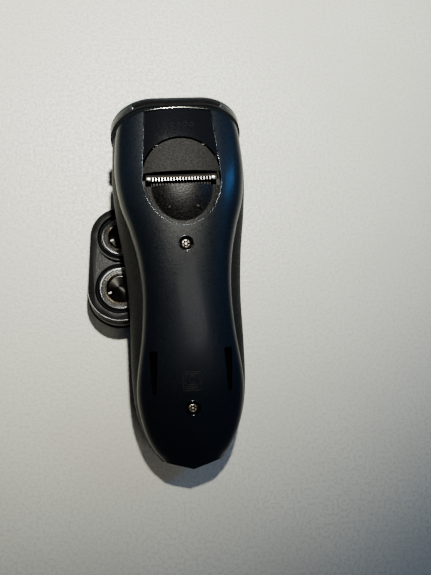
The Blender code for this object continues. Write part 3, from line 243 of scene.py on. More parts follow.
# ---- Materials ---------------------------------------------------------------------------------
class Finish:
    """A Principled material whose nodes are laid out by short calls."""

    def __init__(self, name, colour, roughness, metallic=0.0, **sockets):
        self.made = bpy.data.materials.new(name)
        self.made.use_nodes = True
        self.tree = self.made.node_tree
        self.shader = self.tree.nodes["Principled BSDF"]
        self.shader.inputs["Base Color"].default_value = (*colour, 1)
        self.shader.inputs["Roughness"].default_value = roughness
        self.shader.inputs["Metallic"].default_value = metallic
        for socket, value in sockets.items():
            self.shader.inputs[socket.replace("_", " ")].default_value = value
        self.where = self.tree.nodes.new("ShaderNodeTexCoord").outputs["Object"]
        self.bump_chain = None

    def use_uv(self):
        self.where = self.tree.nodes.new("ShaderNodeUVMap").outputs["UV"]

    def node(self, kind, **inputs):
        made = self.tree.nodes.new(kind)
        for name, value in inputs.items():
            self.feed(made.inputs[name.replace("_", " ")], value)
        return made

    def feed(self, socket, value):
        if isinstance(value, bpy.types.NodeSocket):
            self.tree.links.new(value, socket)
        else:
            socket.default_value = value

    def mapping(self, scale):
        stretch = self.node("ShaderNodeMapping", Vector=self.where)
        stretch.inputs["Scale"].default_value = scale
        return stretch.outputs["Vector"]

    def noise(self, size, detail, scale=None):
        """Noise whose grains are about this size, in metres."""
        where = self.mapping(scale) if scale else self.where
        made = self.node("ShaderNodeTexNoise", Vector=where, Scale=1 / size, Detail=detail,
                         Roughness=0.55)
        return made.outputs["Fac"]

    def cells(self, size):
        """Distance to the edges of cells of about this size, in metres."""
        made = self.node("ShaderNodeTexVoronoi", Vector=self.where, Scale=1 / size)
        made.feature = "DISTANCE_TO_EDGE"
        return made.outputs["Distance"]

    def span(self, value, low, high, to_low, to_high):
        made = self.node("ShaderNodeMapRange", Value=value)
        made.interpolation_type = "SMOOTHSTEP"
        for name, number in (("From Min", low), ("From Max", high), ("To Min", to_low),
                             ("To Max", to_high)):
            made.inputs[name].default_value = number
        return made.outputs["Result"]

    def colours(self, factor, first, second):
        made = self.tree.nodes.new("ShaderNodeMix")
        made.data_type = "RGBA"
        self.feed(made.inputs["Factor"], factor)
        for socket, value in ((6, first), (7, second)):
            if isinstance(value, bpy.types.NodeSocket):
                self.tree.links.new(value, made.inputs[socket])
            else:
                made.inputs[socket].default_value = (*value, 1)
        return made.outputs[2]

    def colour(self, value):
        self.feed(self.shader.inputs["Base Color"], value)

    def roughness(self, value):
        self.feed(self.shader.inputs["Roughness"], value)

    def bump(self, height, depth):
        """Adds relief of this depth, in metres, on top of what is already there."""
        made = self.node("ShaderNodeBump", Height=height, Distance=depth, Strength=1.0)
        if self.bump_chain:
            self.tree.links.new(self.bump_chain, made.inputs["Normal"])
        self.bump_chain = made.outputs["Normal"]
        self.tree.links.new(self.bump_chain, self.shader.inputs["Normal"])


def cover_lacquer():
    """Blue-black pearl under a clear coat: a soft sheen with fine grain, and sharp glints."""
    finish = Finish("cover_lacquer", (0.004, 0.006, 0.009), 0.42, 0.0, Coat_Weight=0.12,
                    Coat_Roughness=0.14, Specular_IOR_Level=0.26)
    cloud = finish.noise(60 * MM, 1)
    pearl = finish.colours(finish.span(cloud, 0.35, 0.65, 0, 1), (0.0014, 0.0024, 0.0042),
                           (0.0018, 0.0038, 0.0080))
    speck = finish.span(finish.noise(0.22 * MM, 1), 0.62, 0.75, 0, 0.35)
    finish.colour(finish.colours(speck, pearl, (0.03, 0.032, 0.035)))
    finish.roughness(finish.span(finish.noise(0.6 * MM, 2), 0.3, 0.7, 0.27, 0.40))
    finish.bump(finish.noise(0.6 * MM, 2), 0.02 * MM)
    return finish.made


def panel_gloss():
    finish = Finish("panel_gloss", (0.003, 0.0035, 0.005), 0.3, Specular_IOR_Level=0.14)
    finish.roughness(finish.span(finish.noise(0.8 * MM, 3), 0.35, 0.7, 0.09, 0.13))
    finish.colour(finish.colours(finish.span(finish.noise(0.5 * MM, 2), 0.66, 0.74, 0, 0.3),
                                 (0.003, 0.0035, 0.005), (0.02, 0.02, 0.022)))
    finish.bump(finish.noise(0.25 * MM, 2), 0.006 * MM)
    return finish.made


def grained_shell():
    """Moulded leather grain: pebbles parted by soft creases, which also carry painted shade."""
    finish = Finish("grained_shell", (0.004, 0.004, 0.004), 0.5, Specular_IOR_Level=0.12)
    crease_and_shade = finish.span(finish.cells(0.95 * MM), 0.0, 0.22, 0, 1)
    small = finish.span(finish.cells(0.38 * MM), 0.0, 0.3, 0, 1)
    # the creases are painted darker than the pebbles: painted shade in the creases
    finish.colour(finish.colours(crease_and_shade, (0.002, 0.002, 0.002), (0.007, 0.007, 0.0075)))
    finish.roughness(finish.span(finish.noise(0.6 * MM, 3), 0.3, 0.7, 0.42, 0.62))
    finish.bump(crease_and_shade, 0.10 * MM)
    finish.bump(small, 0.03 * MM)
    return finish.made


def matt_lid():
    finish = Finish("matt_lid", (0.015, 0.015, 0.015), 0.5, Specular_IOR_Level=0.05)
    grain = finish.noise(0.45 * MM, 1)
    finish.colour(finish.colours(finish.span(grain, 0.35, 0.7, 0, 1), (0.004, 0.004, 0.004),
                                 (0.022, 0.0215, 0.021)))
    finish.roughness(finish.span(finish.noise(0.5 * MM, 2), 0.3, 0.7, 0.44, 0.58))
    finish.bump(grain, 0.03 * MM)
    return finish.made


def thumb_black():
    finish = Finish("thumb_black", (0.008, 0.008, 0.008), 0.34, Specular_IOR_Level=0.16)
    grain = finish.noise(0.7 * MM, 2)
    finish.colour(finish.colours(finish.span(grain, 0.4, 0.7, 0, 1), (0.001, 0.001, 0.0012),
                                 (0.009, 0.0085, 0.008)))
    finish.roughness(finish.span(grain, 0.3, 0.7, 0.34, 0.5))
    finish.bump(grain, 0.13 * MM)
    return finish.made


def satin_black(name="satin_black", colour=(0.003, 0.003, 0.0035), low=0.3, high=0.46, gleam=0.06):
    finish = Finish(name, colour, 0.4, Specular_IOR_Level=gleam)
    finish.roughness(finish.span(finish.noise(0.7 * MM, 4), 0.3, 0.7, low, high))
    finish.colour(finish.colours(finish.span(finish.noise(6 * MM, 3), 0.35, 0.7, 0, 1), colour,
                                 tuple(1.5 * c for c in colour)))
    finish.bump(finish.noise(0.2 * MM, 2), 0.015 * MM)
    return finish.made


def slate_metal():
    finish = Finish("slate_metal", (0.03, 0.035, 0.042), 0.3, 0.25, Coat_Weight=0.1,
                    Coat_Roughness=0.1, Specular_IOR_Level=0.35)
    flake = finish.span(finish.noise(0.12 * MM, 1), 0.55, 0.7, 0, 1)
    finish.colour(finish.colours(flake, (0.014, 0.018, 0.023), (0.04, 0.048, 0.058)))
    finish.roughness(finish.span(finish.noise(2 * MM, 3), 0.3, 0.7, 0.24, 0.38))
    finish.bump(finish.noise(0.3 * MM, 2), 0.01 * MM)
    return finish.made


def metal(name, colour, low, high, scale=(1, 1, 1), uv=False):
    """Bare metal; a scale that differs by axis draws the grain out into brushing."""
    finish = Finish(name, colour, (low + high) / 2, 1.0)
    if uv:
        finish.use_uv()
        finish.shader.inputs["Anisotropic"].default_value = 0.8
        along = finish.tree.nodes.new("ShaderNodeTangent")
        along.direction_type = "UV_MAP"
        finish.feed(finish.shader.inputs["Tangent"], along.outputs["Tangent"])
    streak = finish.noise(1.0 if uv else 0.25 * MM, 4, scale)
    finish.roughness(finish.span(streak, 0.3, 0.7, low, high))
    dull = tuple(0.72 * c for c in colour)
    finish.colour(finish.colours(finish.span(streak, 0.25, 0.75, 0, 1), dull, colour))
    finish.bump(streak, 0.004 * MM)
    return finish.made


def rubber():
    finish = Finish("band_rubber", (0.10, 0.095, 0.088), 0.6)
    finish.roughness(finish.span(finish.noise(0.8 * MM, 3), 0.3, 0.7, 0.5, 0.72))
    finish.colour(finish.colours(finish.span(finish.noise(3 * MM, 3), 0.35, 0.65, 0, 1),
                                 (0.075, 0.071, 0.065), (0.12, 0.114, 0.104)))
    finish.bump(finish.noise(0.25 * MM, 2), 0.02 * MM)
    return finish.made


def moulded(name, colour, low=0.4, high=0.55):
    finish = Finish(name, colour, (low + high) / 2)
    finish.roughness(finish.span(finish.noise(1.5 * MM, 3), 0.3, 0.7, low, high))
    finish.colour(finish.colours(finish.span(finish.noise(4 * MM, 3), 0.3, 0.7, 0, 1),
                                 tuple(0.85 * c for c in colour), colour))
    finish.bump(finish.noise(0.35 * MM, 2), 0.012 * MM)
    return finish.made


def circuit():
    """Solder mask with paler tracks under it."""
    finish = Finish("circuit_green", (0.02, 0.12, 0.05), 0.35)
    bricks = finish.node("ShaderNodeTexBrick", Vector=finish.where, Scale=1 / (6 * MM))
    finish.colour(finish.colours(bricks.outputs["Fac"], (0.012, 0.085, 0.035),
                                 (0.04, 0.20, 0.08)))
    finish.bump(bricks.outputs["Fac"], 0.03 * MM)
    return finish.made


def table_laminate():
    """Pale warm laminate with a fine speckle and a soft sheen."""
    finish = Finish("table_laminate", (0.61, 0.61, 0.555), 0.42)
    speckle = finish.noise(1.5 * MM, 4)
    broad = finish.noise(60 * MM, 2)
    pale = finish.colours(finish.span(broad, 0.3, 0.7, 0, 1), (0.59, 0.595, 0.520),
                          (0.63, 0.635, 0.560))
    finish.colour(finish.colours(finish.span(speckle, 0.44, 0.62, 0, 1.0), pale,
                                 (0.53, 0.53, 0.48)))
    finish.roughness(finish.span(speckle, 0.3, 0.7, 0.34, 0.52))
    finish.bump(speckle, 0.16 * MM)
    return finish.made


FINISHES = {
    "cover": cover_lacquer(),
    "panel": panel_gloss(),
    "shell": grained_shell(),
    "lid": matt_lid(),
    "thumb": thumb_black(),
    "black": satin_black(),
    # darker and duller than the black plastic: painted shade for the dock slots, the screw recesses
    # and the chamber's neck
    "recess_shade": satin_black("recess_shade_black", (0.0008, 0.0008, 0.001), 0.5, 0.7, 0.02),
    "band": satin_black("band_black", (0.010, 0.0095, 0.0095), 0.34, 0.5, 0.1),
    # a paler, glossier copy of the black plastic for the housing's top edge and the collar lips:
    # the paler grey is painted highlight, the gloss catches real highlights
    "lip": satin_black("lip_highlight_grey", (0.03, 0.031, 0.033), 0.2, 0.34, 0.4),
    "slate": slate_metal(),
    "steel": metal("turned_steel", (0.36, 0.35, 0.33), 0.2, 0.36),
    "bright": metal("bright_steel", (0.60, 0.60, 0.59), 0.12, 0.26),
    "chrome": metal("trim_chrome", (0.42, 0.41, 0.39), 0.1, 0.2),
    "bronze": metal("bronze_spring", (0.022, 0.018, 0.014), 0.34, 0.5),
    "screw": metal("oiled_steel", (0.24, 0.21, 0.185), 0.22, 0.36),
    "gold": metal("gold_ring", (0.45, 0.36, 0.22), 0.14, 0.3),
    "cap": metal("spun_cap", (0.045, 0.043, 0.040), 0.14, 0.26, (3, 700, 1), uv=True),
    "foil": metal("spun_foil", (0.62, 0.63, 0.65), 0.16, 0.32, (3, 500, 1), uv=True),
    "rubber": rubber(),
    "white": moulded("white_acetal", (0.72, 0.71, 0.67)),
    "green": circuit(),
    "wrap": moulded("cell_wrap", (0.03, 0.19, 0.12), 0.25, 0.4),
    "lens": moulded("light_lens", (0.45, 0.62, 0.48), 0.1, 0.2),
    "edge": metal("cut_edge", (0.045, 0.055, 0.065), 0.14, 0.24),
    # steel painted near-black: painted shade for the comb plate and the blade, which lie in the
    # lid's shadow
    "shaded_steel": satin_black("steel_painted_shade", (0.004, 0.0038, 0.0036), 0.4, 0.55, 0.03),
}


# ---- Building blocks ---------------------------------------------------------------------------
def piece(name, points, faces, finish, matrix=None, body="handle", slot=None):
    """A mesh piece with its place in its mesh, riding on a body."""
    mesh = bpy.data.meshes.new(name)
    mesh.from_pydata([tuple(p) for p in points], [], faces)
    shape = bmesh.new()
    shape.from_mesh(mesh)
    bmesh.ops.remove_doubles(shape, verts=shape.verts, dist=1e-7)
    bmesh.ops.recalc_face_normals(shape, faces=shape.faces)
    if matrix:
        shape.transform(matrix)
    shape.to_mesh(mesh)
    shape.free()
    obj = bpy.data.objects.new(name, mesh)
    bpy.context.scene.collection.objects.link(obj)
    mesh.materials.append(FINISHES[finish])
    shade(obj)
    if body:
        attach(obj, body)
    return obj


def shade(obj):
    obj.data.shade_smooth()
    obj.data.set_sharp_from_angle(angle=math.radians(35))


def soften(obj, width, segments=2, angle=50):
    """Rounds every edge that is sharper than the angle."""
    shape = bmesh.new()
    shape.from_mesh(obj.data)
    sharp = [e for e in shape.edges
             if len(e.link_faces) == 2 and e.calc_face_angle(0) > math.radians(angle)]
    bmesh.ops.bevel(shape, geom=sharp, offset=width, segments=segments, profile=0.5,
                    affect="EDGES", clamp_overlap=True)
    shape.to_mesh(obj.data)
    shape.free()
    shade(obj)
    return obj


def prism(name, outline, low, high, finish, matrix=None, **more):
    count = len(outline)
    points = [(x, y, z) for z in (low, high) for x, y in outline]
    ends = [tuple(range(count)), tuple(range(count, 2 * count))]
    return piece(name, points, ends + loop_faces(2, count, closed=False), finish, matrix, **more)


def tool(outline, low, high, matrix=None):
    """A solid that only cuts, and is removed once it has."""
    return prism("tool", outline, low, high, "black", matrix, body=None)


def boolean(obj, cutter, operation="DIFFERENCE"):
    bpy.context.view_layer.update()
    modifier = obj.modifiers.new("cut", "BOOLEAN")
    modifier.operation = operation
    modifier.solver = "EXACT"
    modifier.object = cutter
    graph = bpy.context.evaluated_depsgraph_get()
    result = bpy.data.meshes.new_from_object(obj.evaluated_get(graph))
    obj.modifiers.remove(modifier)
    obj.data = result
    bpy.data.objects.remove(cutter, do_unlink=True)
    shade(obj)
    return obj


def lathe(name, profile, finish, matrix=None, sectors=64, **more):
    """Turned about Z from (radius, height) points, with u round it and v along its profile."""
    points, rings = [], []
    for radius, height in profile:
        if radius == 0:
            rings.append([len(points)] * sectors)
            points.append((0, 0, height))
            continue
        rings.append(list(range(len(points), len(points) + sectors)))
        for k in range(sectors):
            turn = 2 * math.pi * k / sectors
            points.append((radius * math.cos(turn), radius * math.sin(turn), height))
    closed = profile[0][0] != 0 or profile[-1][0] != 0
    pairs = list(zip(rings, rings[1:] + rings[:1] if closed else rings[1:]))
    faces = []
    for low, high in pairs:
        for k in range(sectors):
            after = (k + 1) % sectors
            face = tuple(dict.fromkeys((low[k], low[after], high[after], high[k])))
            if len(face) > 2:
                faces.append(face)
    obj = piece(name, points, faces, finish, None, **more)
    spin_uv(obj)
    if matrix:
        obj.data.transform(matrix)
    return obj


def spin_uv(obj):
    """u is the angle about Z and v the distance from it, both before the piece is placed."""
    mesh = obj.data
    layer = mesh.uv_layers.new(name="UVMap")
    for face in mesh.polygons:
        turns = []
        for corner in face.loop_indices:
            x, y, z = mesh.vertices[mesh.loops[corner].vertex_index].co
            turns.append([corner, math.atan2(y, x) / (2 * math.pi), math.hypot(x, y) + abs(z)])
        base = turns[0][1]
        for corner, turn, out in turns:
            while turn - base > 0.5:
                turn -= 1
            while base - turn > 0.5:
                turn += 1
            layer.data[corner].uv = (turn, out / (20 * MM))


def grid_faces(rows, columns):
    faces = []
    for i in range(rows - 1):
        for j in range(columns - 1):
            near, far = i * columns + j, (i + 1) * columns + j
            faces.append((near, near + 1, far + 1, far))
    return faces


def loop_faces(loops, count, closed=True):
    """Quads between loops of points in a row, and from the last to the first if closed."""
    faces = []
    for i in range(loops if closed else loops - 1):
        near, far = i * count, (i + 1) % loops * count
        for k in range(count):
            after = (k + 1) % count
            faces.append((near + k, near + after, far + after, far + k))
    return faces


def wall_faces(rows, columns):
    """Faces of a wall between an outer and an inner grid that follow one another."""
    under = rows * columns
    outer = grid_faces(rows, columns)
    faces = outer + [tuple(v + under for v in reversed(face)) for face in outer]
    for i in range(rows - 1):
        for j in (0, columns - 1):
            a, b = i * columns + j, (i + 1) * columns + j
            faces.append((a, b, b + under, a + under))
    for j in range(columns - 1):
        for i in (0, rows - 1):
            a, b = i * columns + j, i * columns + j + 1
            faces.append((a, b, b + under, a + under))
    return faces


def tube(name, path, radius, finish, closed=False, sides=10, squash=1.0, **more):
    """A bead swept along a path, flattened in Z by the squash."""
    count = len(path)
    points = []
    for k, here in enumerate(path):
        before = path[k - 1] if closed or k else path[k]
        after = path[(k + 1) % count] if closed or k < count - 1 else path[k]
        along = (Vector(after) - Vector(before)).normalized()
        side = along.cross(Vector((0, 0, 1))).normalized()
        rise = side.cross(along)
        for s in range(sides):
            turn = 2 * math.pi * s / sides
            points.append(Vector(here) + side * (radius * math.cos(turn))
                          + rise * (radius * squash * math.sin(turn)))
    faces = loop_faces(count, sides, closed)
    if not closed:
        faces += [tuple(range(sides)), tuple(range((count - 1) * sides, count * sides))]
    return piece(name, points, faces, finish, **more)


def circle(radius, centre=(0, 0), sectors=48):
    return [(centre[0] + radius * math.cos(2 * math.pi * k / sectors),
             centre[1] + radius * math.sin(2 * math.pi * k / sectors)) for k in range(sectors)]


def rectangle(low, high):
    return [(low[0], low[1]), (high[0], low[1]), (high[0], high[1]), (low[0], high[1])]


def round_triangle(centres, radii):
    """The outline of a band pulled tight round three circles, turning left."""
    steps = 22
    outline = []
    for k in range(3):
        before, here, after = centres[k - 1], centres[k], centres[(k + 1) % 3]

        def leaving(a, b, ra, rb):
            run = Vector(b) - Vector(a)
            return math.atan2(run.y, run.x) - math.pi / 2 + math.asin((ra - rb) / run.length)

        start = leaving(before, here, radii[k - 1], radii[k])
        stop = leaving(here, after, radii[k], radii[(k + 1) % 3])
        while stop < start:
            stop += 2 * math.pi
        for step in range(steps + 1):
            turn = start + (stop - start) * step / steps
            outline.append((here[0] + radii[k] * math.cos(turn),
                            here[1] + radii[k] * math.sin(turn)))
    return outline


def moulding(name, outline_at, profile, finish, matrix=None, **more):
    """A ring whose section is a profile of (inset, height); outline_at gives each inset outline."""
    loops = [[(x, y, height) for x, y in outline_at(inset)] for inset, height in profile]
    points = [p for loop in loops for p in loop]
    return piece(name, points, loop_faces(len(loops), len(loops[0])), finish, matrix, **more)


# ---- Geometry Nodes: rows and rings of small pieces ---------------------------------------------
def repeat_tree(name, ring):
    """A node tree that sets one small block many times, in a row along X or round a ring."""
    tree = bpy.data.node_groups.new(name, "GeometryNodeTree")
    face = tree.interface
    for label, kind in (("Count", "NodeSocketInt"), ("Spread", "NodeSocketFloat"),
                        ("Width", "NodeSocketFloat"), ("Length", "NodeSocketFloat"),
                        ("Height", "NodeSocketFloat"), ("Finish", "NodeSocketMaterial")):
        face.new_socket(label, in_out="INPUT", socket_type=kind)
    face.new_socket("Geometry", in_out="OUTPUT", socket_type="NodeSocketGeometry")
    nodes, links = tree.nodes, tree.links
    given = nodes.new("NodeGroupInput")
    size = nodes.new("ShaderNodeCombineXYZ")
    block = nodes.new("GeometryNodeMeshCube")
    for label, axis in (("Width", "X"), ("Length", "Y"), ("Height", "Z")):
        links.new(given.outputs[label], size.inputs[axis])
    links.new(size.outputs[0], block.inputs["Size"])
    put = nodes.new("GeometryNodeInstanceOnPoints")
    if ring:
        spots = nodes.new("GeometryNodeMeshCircle")
        links.new(given.outputs["Count"], spots.inputs["Vertices"])
        links.new(given.outputs["Spread"], spots.inputs["Radius"])
        where = nodes.new("GeometryNodeInputPosition")
        face_out = nodes.new("FunctionNodeAlignRotationToVector")
        face_out.axis = "Y"
        face_out.pivot_axis = "Z"
        links.new(where.outputs[0], face_out.inputs["Vector"])
        links.new(face_out.outputs[0], put.inputs["Rotation"])
        links.new(spots.outputs[0], put.inputs["Points"])
    else:
        spots = nodes.new("GeometryNodeMeshLine")
        spots.mode = "END_POINTS"
        start = nodes.new("ShaderNodeCombineXYZ")
        end = nodes.new("ShaderNodeCombineXYZ")
        minus = nodes.new("ShaderNodeMath")
        minus.operation = "MULTIPLY"
        minus.inputs[1].default_value = -1
        links.new(given.outputs["Spread"], minus.inputs[0])
        links.new(minus.outputs[0], start.inputs["X"])
        links.new(given.outputs["Spread"], end.inputs["X"])
        links.new(given.outputs["Count"], spots.inputs["Count"])
        links.new(start.outputs[0], spots.inputs["Start Location"])
        links.new(end.outputs[0], spots.inputs["Offset"])
        links.new(spots.outputs[0], put.inputs["Points"])
    links.new(block.outputs["Mesh"], put.inputs["Instance"])
    real = nodes.new("GeometryNodeRealizeInstances")
    coat = nodes.new("GeometryNodeSetMaterial")
    out = nodes.new("NodeGroupOutput")
    links.new(put.outputs[0], real.inputs[0])
    links.new(real.outputs[0], coat.inputs["Geometry"])
    links.new(given.outputs["Finish"], coat.inputs["Material"])
    links.new(coat.outputs[0], out.inputs[0])
    return tree


ROW = repeat_tree("row_of_blocks", False)
RING = repeat_tree("ring_of_blocks", True)


def repeated(name, tree, count, spread, size, finish, matrix=None, rounding=0.0, **more):
    """Runs a repeat tree and keeps its result as a plain mesh piece."""
    carrier = bpy.data.objects.new("carrier", bpy.data.meshes.new("carrier"))
    bpy.context.scene.collection.objects.link(carrier)
    modifier = carrier.modifiers.new("repeat", "NODES")
    modifier.node_group = tree
    keys = {item.name: item.identifier for item in tree.interface.items_tree
            if item.in_out == "INPUT"}
    given = {"Count": count, "Spread": spread, "Width": size[0], "Length": size[1],
             "Height": size[2], "Finish": FINISHES[finish]}
    for label, value in given.items():
        modifier[keys[label]] = value
    bpy.context.view_layer.update()
    graph = bpy.context.evaluated_depsgraph_get()
    mesh = bpy.data.meshes.new_from_object(carrier.evaluated_get(graph))
    points = [v.co.copy() for v in mesh.vertices]
    faces = [tuple(p.vertices) for p in mesh.polygons]
    bpy.data.objects.remove(carrier, do_unlink=True)
    made = piece(name, points, faces, finish, matrix, **more)
    if rounding:
        soften(made, rounding, 1)
    return made


# ---- Casing ------------------------------------------------------------------------------------
def shell_section(back, inset):
    y = y_of(back)
    edge_half = smooth(EDGE_HALF_LINE, back) - inset
    edge_z = smooth(EDGE_Z_LINE, back)
    side_half = smooth(SIDE_HALF_LINE, back) - inset
    side_z = smooth(SIDE_Z_LINE, back)
    low = keel(back) + inset
    power = smooth(KEEL_POWER_LINE, back)
    bend_z = 0.6 * edge_z + 0.4 * side_z
    right = []
    for step in range(8):
        t = step / 8
        right.append(((1 - t) ** 2 * edge_half + (2 - t) * t * side_half,
                      (1 - t) ** 2 * edge_z + 2 * t * (1 - t) * bend_z + t * t * side_z))
    for step in range(SECTION):
        turn = math.pi / 2 * step / SECTION
        right.append((side_half * math.cos(turn) ** (2 / power),
                      side_z - (side_z - low) * math.sin(turn) ** (2 / power)))
    left = [(-x, z) for x, z in right]
    return [(x, y, max(z, 0)) for x, z in left + [(0, low)] + right[::-1]]


def cover_section(back, inset):
    edge_half = smooth(EDGE_HALF_LINE, back) - inset
    foot = smooth(EDGE_Z_LINE, back) + GAP
    section = []
    for step in range(2 * SECTION + 1):
        x = edge_half * math.sin(math.pi * (step / (2 * SECTION) - 0.5))
        section.append((x, y_of(back), max(back_height(x, back, inset), foot)))
    return section


def trimmed_grid(section, inset, rows):
    """A casing surface from the head plane to the tail's swept faces, in equal numbers of steps."""
    backs = np.linspace(CROWN_LINE[0][0], CROWN_LINE[-1][0], 420)
    dense = np.array([section(back, inset) for back in backs])
    normal, centre = np.array(HEAD.col[2][:3]), np.array(HEAD.translation)
    ahead = (dense - centre) @ normal + SKIRT + GAP + HEAD_ARCH * dense[:, :, 0] ** 2
    behind = dense[:, :, 1] - (y_of(HANDLE_LENGTH) + TAIL_SLOPE * np.abs(dense[:, :, 0]))
    columns = dense.shape[1]
    grid = np.zeros((rows, columns, 3))
    places = np.arange(len(backs))
    for j in range(columns):
        first = crossing(ahead[:, j])
        last = crossing(behind[:, j])
        for axis in range(3):
            grid[:, j, axis] = np.interp(np.linspace(first, last, rows), places,
                                         dense[:, j, axis])
    return grid


def crossing(values):
    """Where a falling list of values first passes zero, between its places."""
    k = int(np.argmax(values < 0))
    return k - 1 + values[k - 1] / (values[k - 1] - values[k])


def casing(name, section, finish, **more):
    outer = trimmed_grid(section, 0, ROWS)
    inner = trimmed_grid(section, WALL, ROWS)
    rows, columns = outer.shape[:2]
    points = np.concatenate([outer.reshape(-1, 3), inner.reshape(-1, 3)])
    return piece(name, points.tolist(), wall_faces(rows, columns), finish, **more)


def window_outline(grow=0.0, steps=64, top=-6 * MM):
    outline = [(WINDOW_TOP + grow, y_of(top))]
    for k in range(steps + 1):
        turn = math.pi * k / steps
        outline.append(((DISC + WINDOW_GAP + grow) * math.cos(turn),
                        y_of(DISC_BACK + (SLIDE_REACH + grow) * math.sin(turn))))
    outline.append((-WINDOW_TOP - grow, y_of(top)))
    return outline


def slot_outline(side, grow=0.0):
    """A dock slot, wide towards the head end, with rounded corners."""
    steps = 6
    low = HANDLE_LENGTH - SLOT_TAIL
    high = low - SLOT_LENGTH
    wide, narrow = SLOT_WIDE / 2 + grow, SLOT_NARROW / 2 + grow
    out = SLOT_OUT + 0.4 * MM
    corners = [(SLOT_OUT - wide, high - grow, 0.9 * MM), (SLOT_OUT + wide, high - grow, 0.9 * MM),
               (out + narrow, low + grow, 0.6 * MM), (out - narrow, low + grow, 0.6 * MM)]
    outline = []
    for k, (x, back, radius) in enumerate(corners):
        here = Vector((x, back))
        to_last = (Vector(corners[k - 1][:2]) - here).normalized()
        to_next = (Vector(corners[(k + 1) % 4][:2]) - here).normalized()
        for step in range(steps + 1):
            t = step / steps
            bend = here + to_last * radius * (1 - t) ** 2 + to_next * radius * t**2
            outline.append((side * bend.x, y_of(bend.y)))
    return outline


def front_holes():
    """The holes for the power button and the charge light."""
    return (circle(BUTTON + BUTTON_GAP, (0, y_of(BUTTON_BACK)), 64),
            circle(LIGHT_HOLE, (0, y_of(LIGHT_BACK)), 32))


def front_casing():
    shell = casing("casing_front", shell_section, "shell", slot="textured_black")
    for hole in front_holes():
        boolean(shell, tool(hole, 0, FRONT_DEPTH))
    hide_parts("front_shell")


def back_casing():
    cover = casing("casing_back", cover_section, "cover", slot="blue_black_gloss")
    boolean(cover, tool(window_outline(), 0, PLATE_DEPTH))
    for back in SCREW_BACKS:
        boolean(cover, tool(circle(SCREW_HOLE, (0, y_of(back)), 48), 0, PLATE_DEPTH))
    for side in (-1, 1):
        boolean(cover, tool(slot_outline(side), 0, PLATE_DEPTH))
    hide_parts("back_cover")
    window_bead()
    for side, name in ((-1, "left"), (1, "right")):
        slot_liner(side, name)
    for back, name in zip(SCREW_BACKS, ("upper", "lower")):
        rim = [(x, y, back_height(x, HEAD_EDGE_Y - y) + 0.02 * MM)
               for x, y in circle(SCREW_HOLE + 0.05 * MM, (0, y_of(back)), 48)]
        tube(f"screw_rim_{name}", rim, 0.16 * MM, "edge", closed=True, squash=0.7,
             slot="blue_black_gloss")


def window_bead():
    """The bright cut edge round the trimmer's window."""
    path = []
    for x, y in window_outline(0.02 * MM, 64, -0.9 * MM):
        path.append((x, y, back_height(x, HEAD_EDGE_Y - y) - 0.05 * MM))
    first, last = path[0], path[-1]
    run = [Vector(first).lerp(Vector(path[1]), t / 24) for t in range(24)]
    back_run = [Vector(path[-2]).lerp(Vector(last), t / 24) for t in range(1, 25)]
    for stretch in (run, back_run):
        for p in stretch:
            p.z = back_height(p.x, HEAD_EDGE_Y - p.y) - 0.05 * MM
    whole = [tuple(p) for p in run] + path[1:-1] + [tuple(p) for p in back_run]
    tube("window_edge", whole, 0.085 * MM, "edge", squash=0.8, slot="blue_black_gloss")


def slot_liner(side, name):
    """The lip, side walls and floor of a dock slot."""
    rim = []
    for x, y in slot_outline(side, -0.03 * MM):
        rim.append((x, y, back_height(x, HEAD_EDGE_Y - y)))
    count = len(rim)

    def lowered(grow, drop):
        ring = slot_outline(side, grow * MM)
        return [(x, y, z + drop * MM) for (x, y), (_, _, z) in zip(ring, rim)]

    levels = [(-0.04, 0.10), (0.10, 0.08), (0.22, -0.06), (0.26, -0.5), (0.26, -5.6)]
    points = []
    for inset, drop in levels:
        points += lowered(-inset, drop)
    faces = loop_faces(len(levels), count, closed=False)
    faces.append(tuple(range((len(levels) - 1) * count, len(levels) * count)))
    under = len(points)
    for grow, drop in ((-0.01, -0.1), (-0.01, -2.3), (0.5, -2.3), (0.5, -5.9)):
        points += lowered(grow, drop)
    faces += [tuple(v + under for v in face) for face in loop_faces(4, count, closed=False)]
    faces.append(tuple(range(under + 3 * count, under + 4 * count)))
    faces += [(k, (k + 1) % count, under + (k + 1) % count, under + k) for k in range(count)]
    # the slot's walls and floor are painted near-black: painted shade inside the slot
    liner = piece(f"slot_liner_{name}", points, faces, "recess_shade", slot="black_plastic")
    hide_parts(f"dock_pocket_{name}")


def embossed_mark():
    """Two plain raised squares with rounded corners, a ring and a bar, low on the cover."""
    back = HANDLE_LENGTH - 40.3 * MM
    corner = 0.28 * MARK_HALF
    square = rounded_box(MARK_HALF, MARK_HALF, corner)
    bar = rounded_box(2.1 * MM, 0.45 * MM, 0.3 * MM)
    rings = [("frame", square), ("inner_frame", [(0.76 * x, 0.76 * y) for x, y in square]),
             ("ring", circle(1.5 * MM, (0, 0.9 * MM), sectors=40)),
             ("bar", [(x, y - 1.9 * MM) for x, y in bar])]
    for label, ring in rings:
        path = [(x, y_of(back) + y, back_height(x, back - y) - 0.02 * MM) for x, y in ring]
        tube(f"mark_{label}", path, 0.2 * MM, "lid", closed=True, squash=0.7,
             slot="blue_black_gloss")


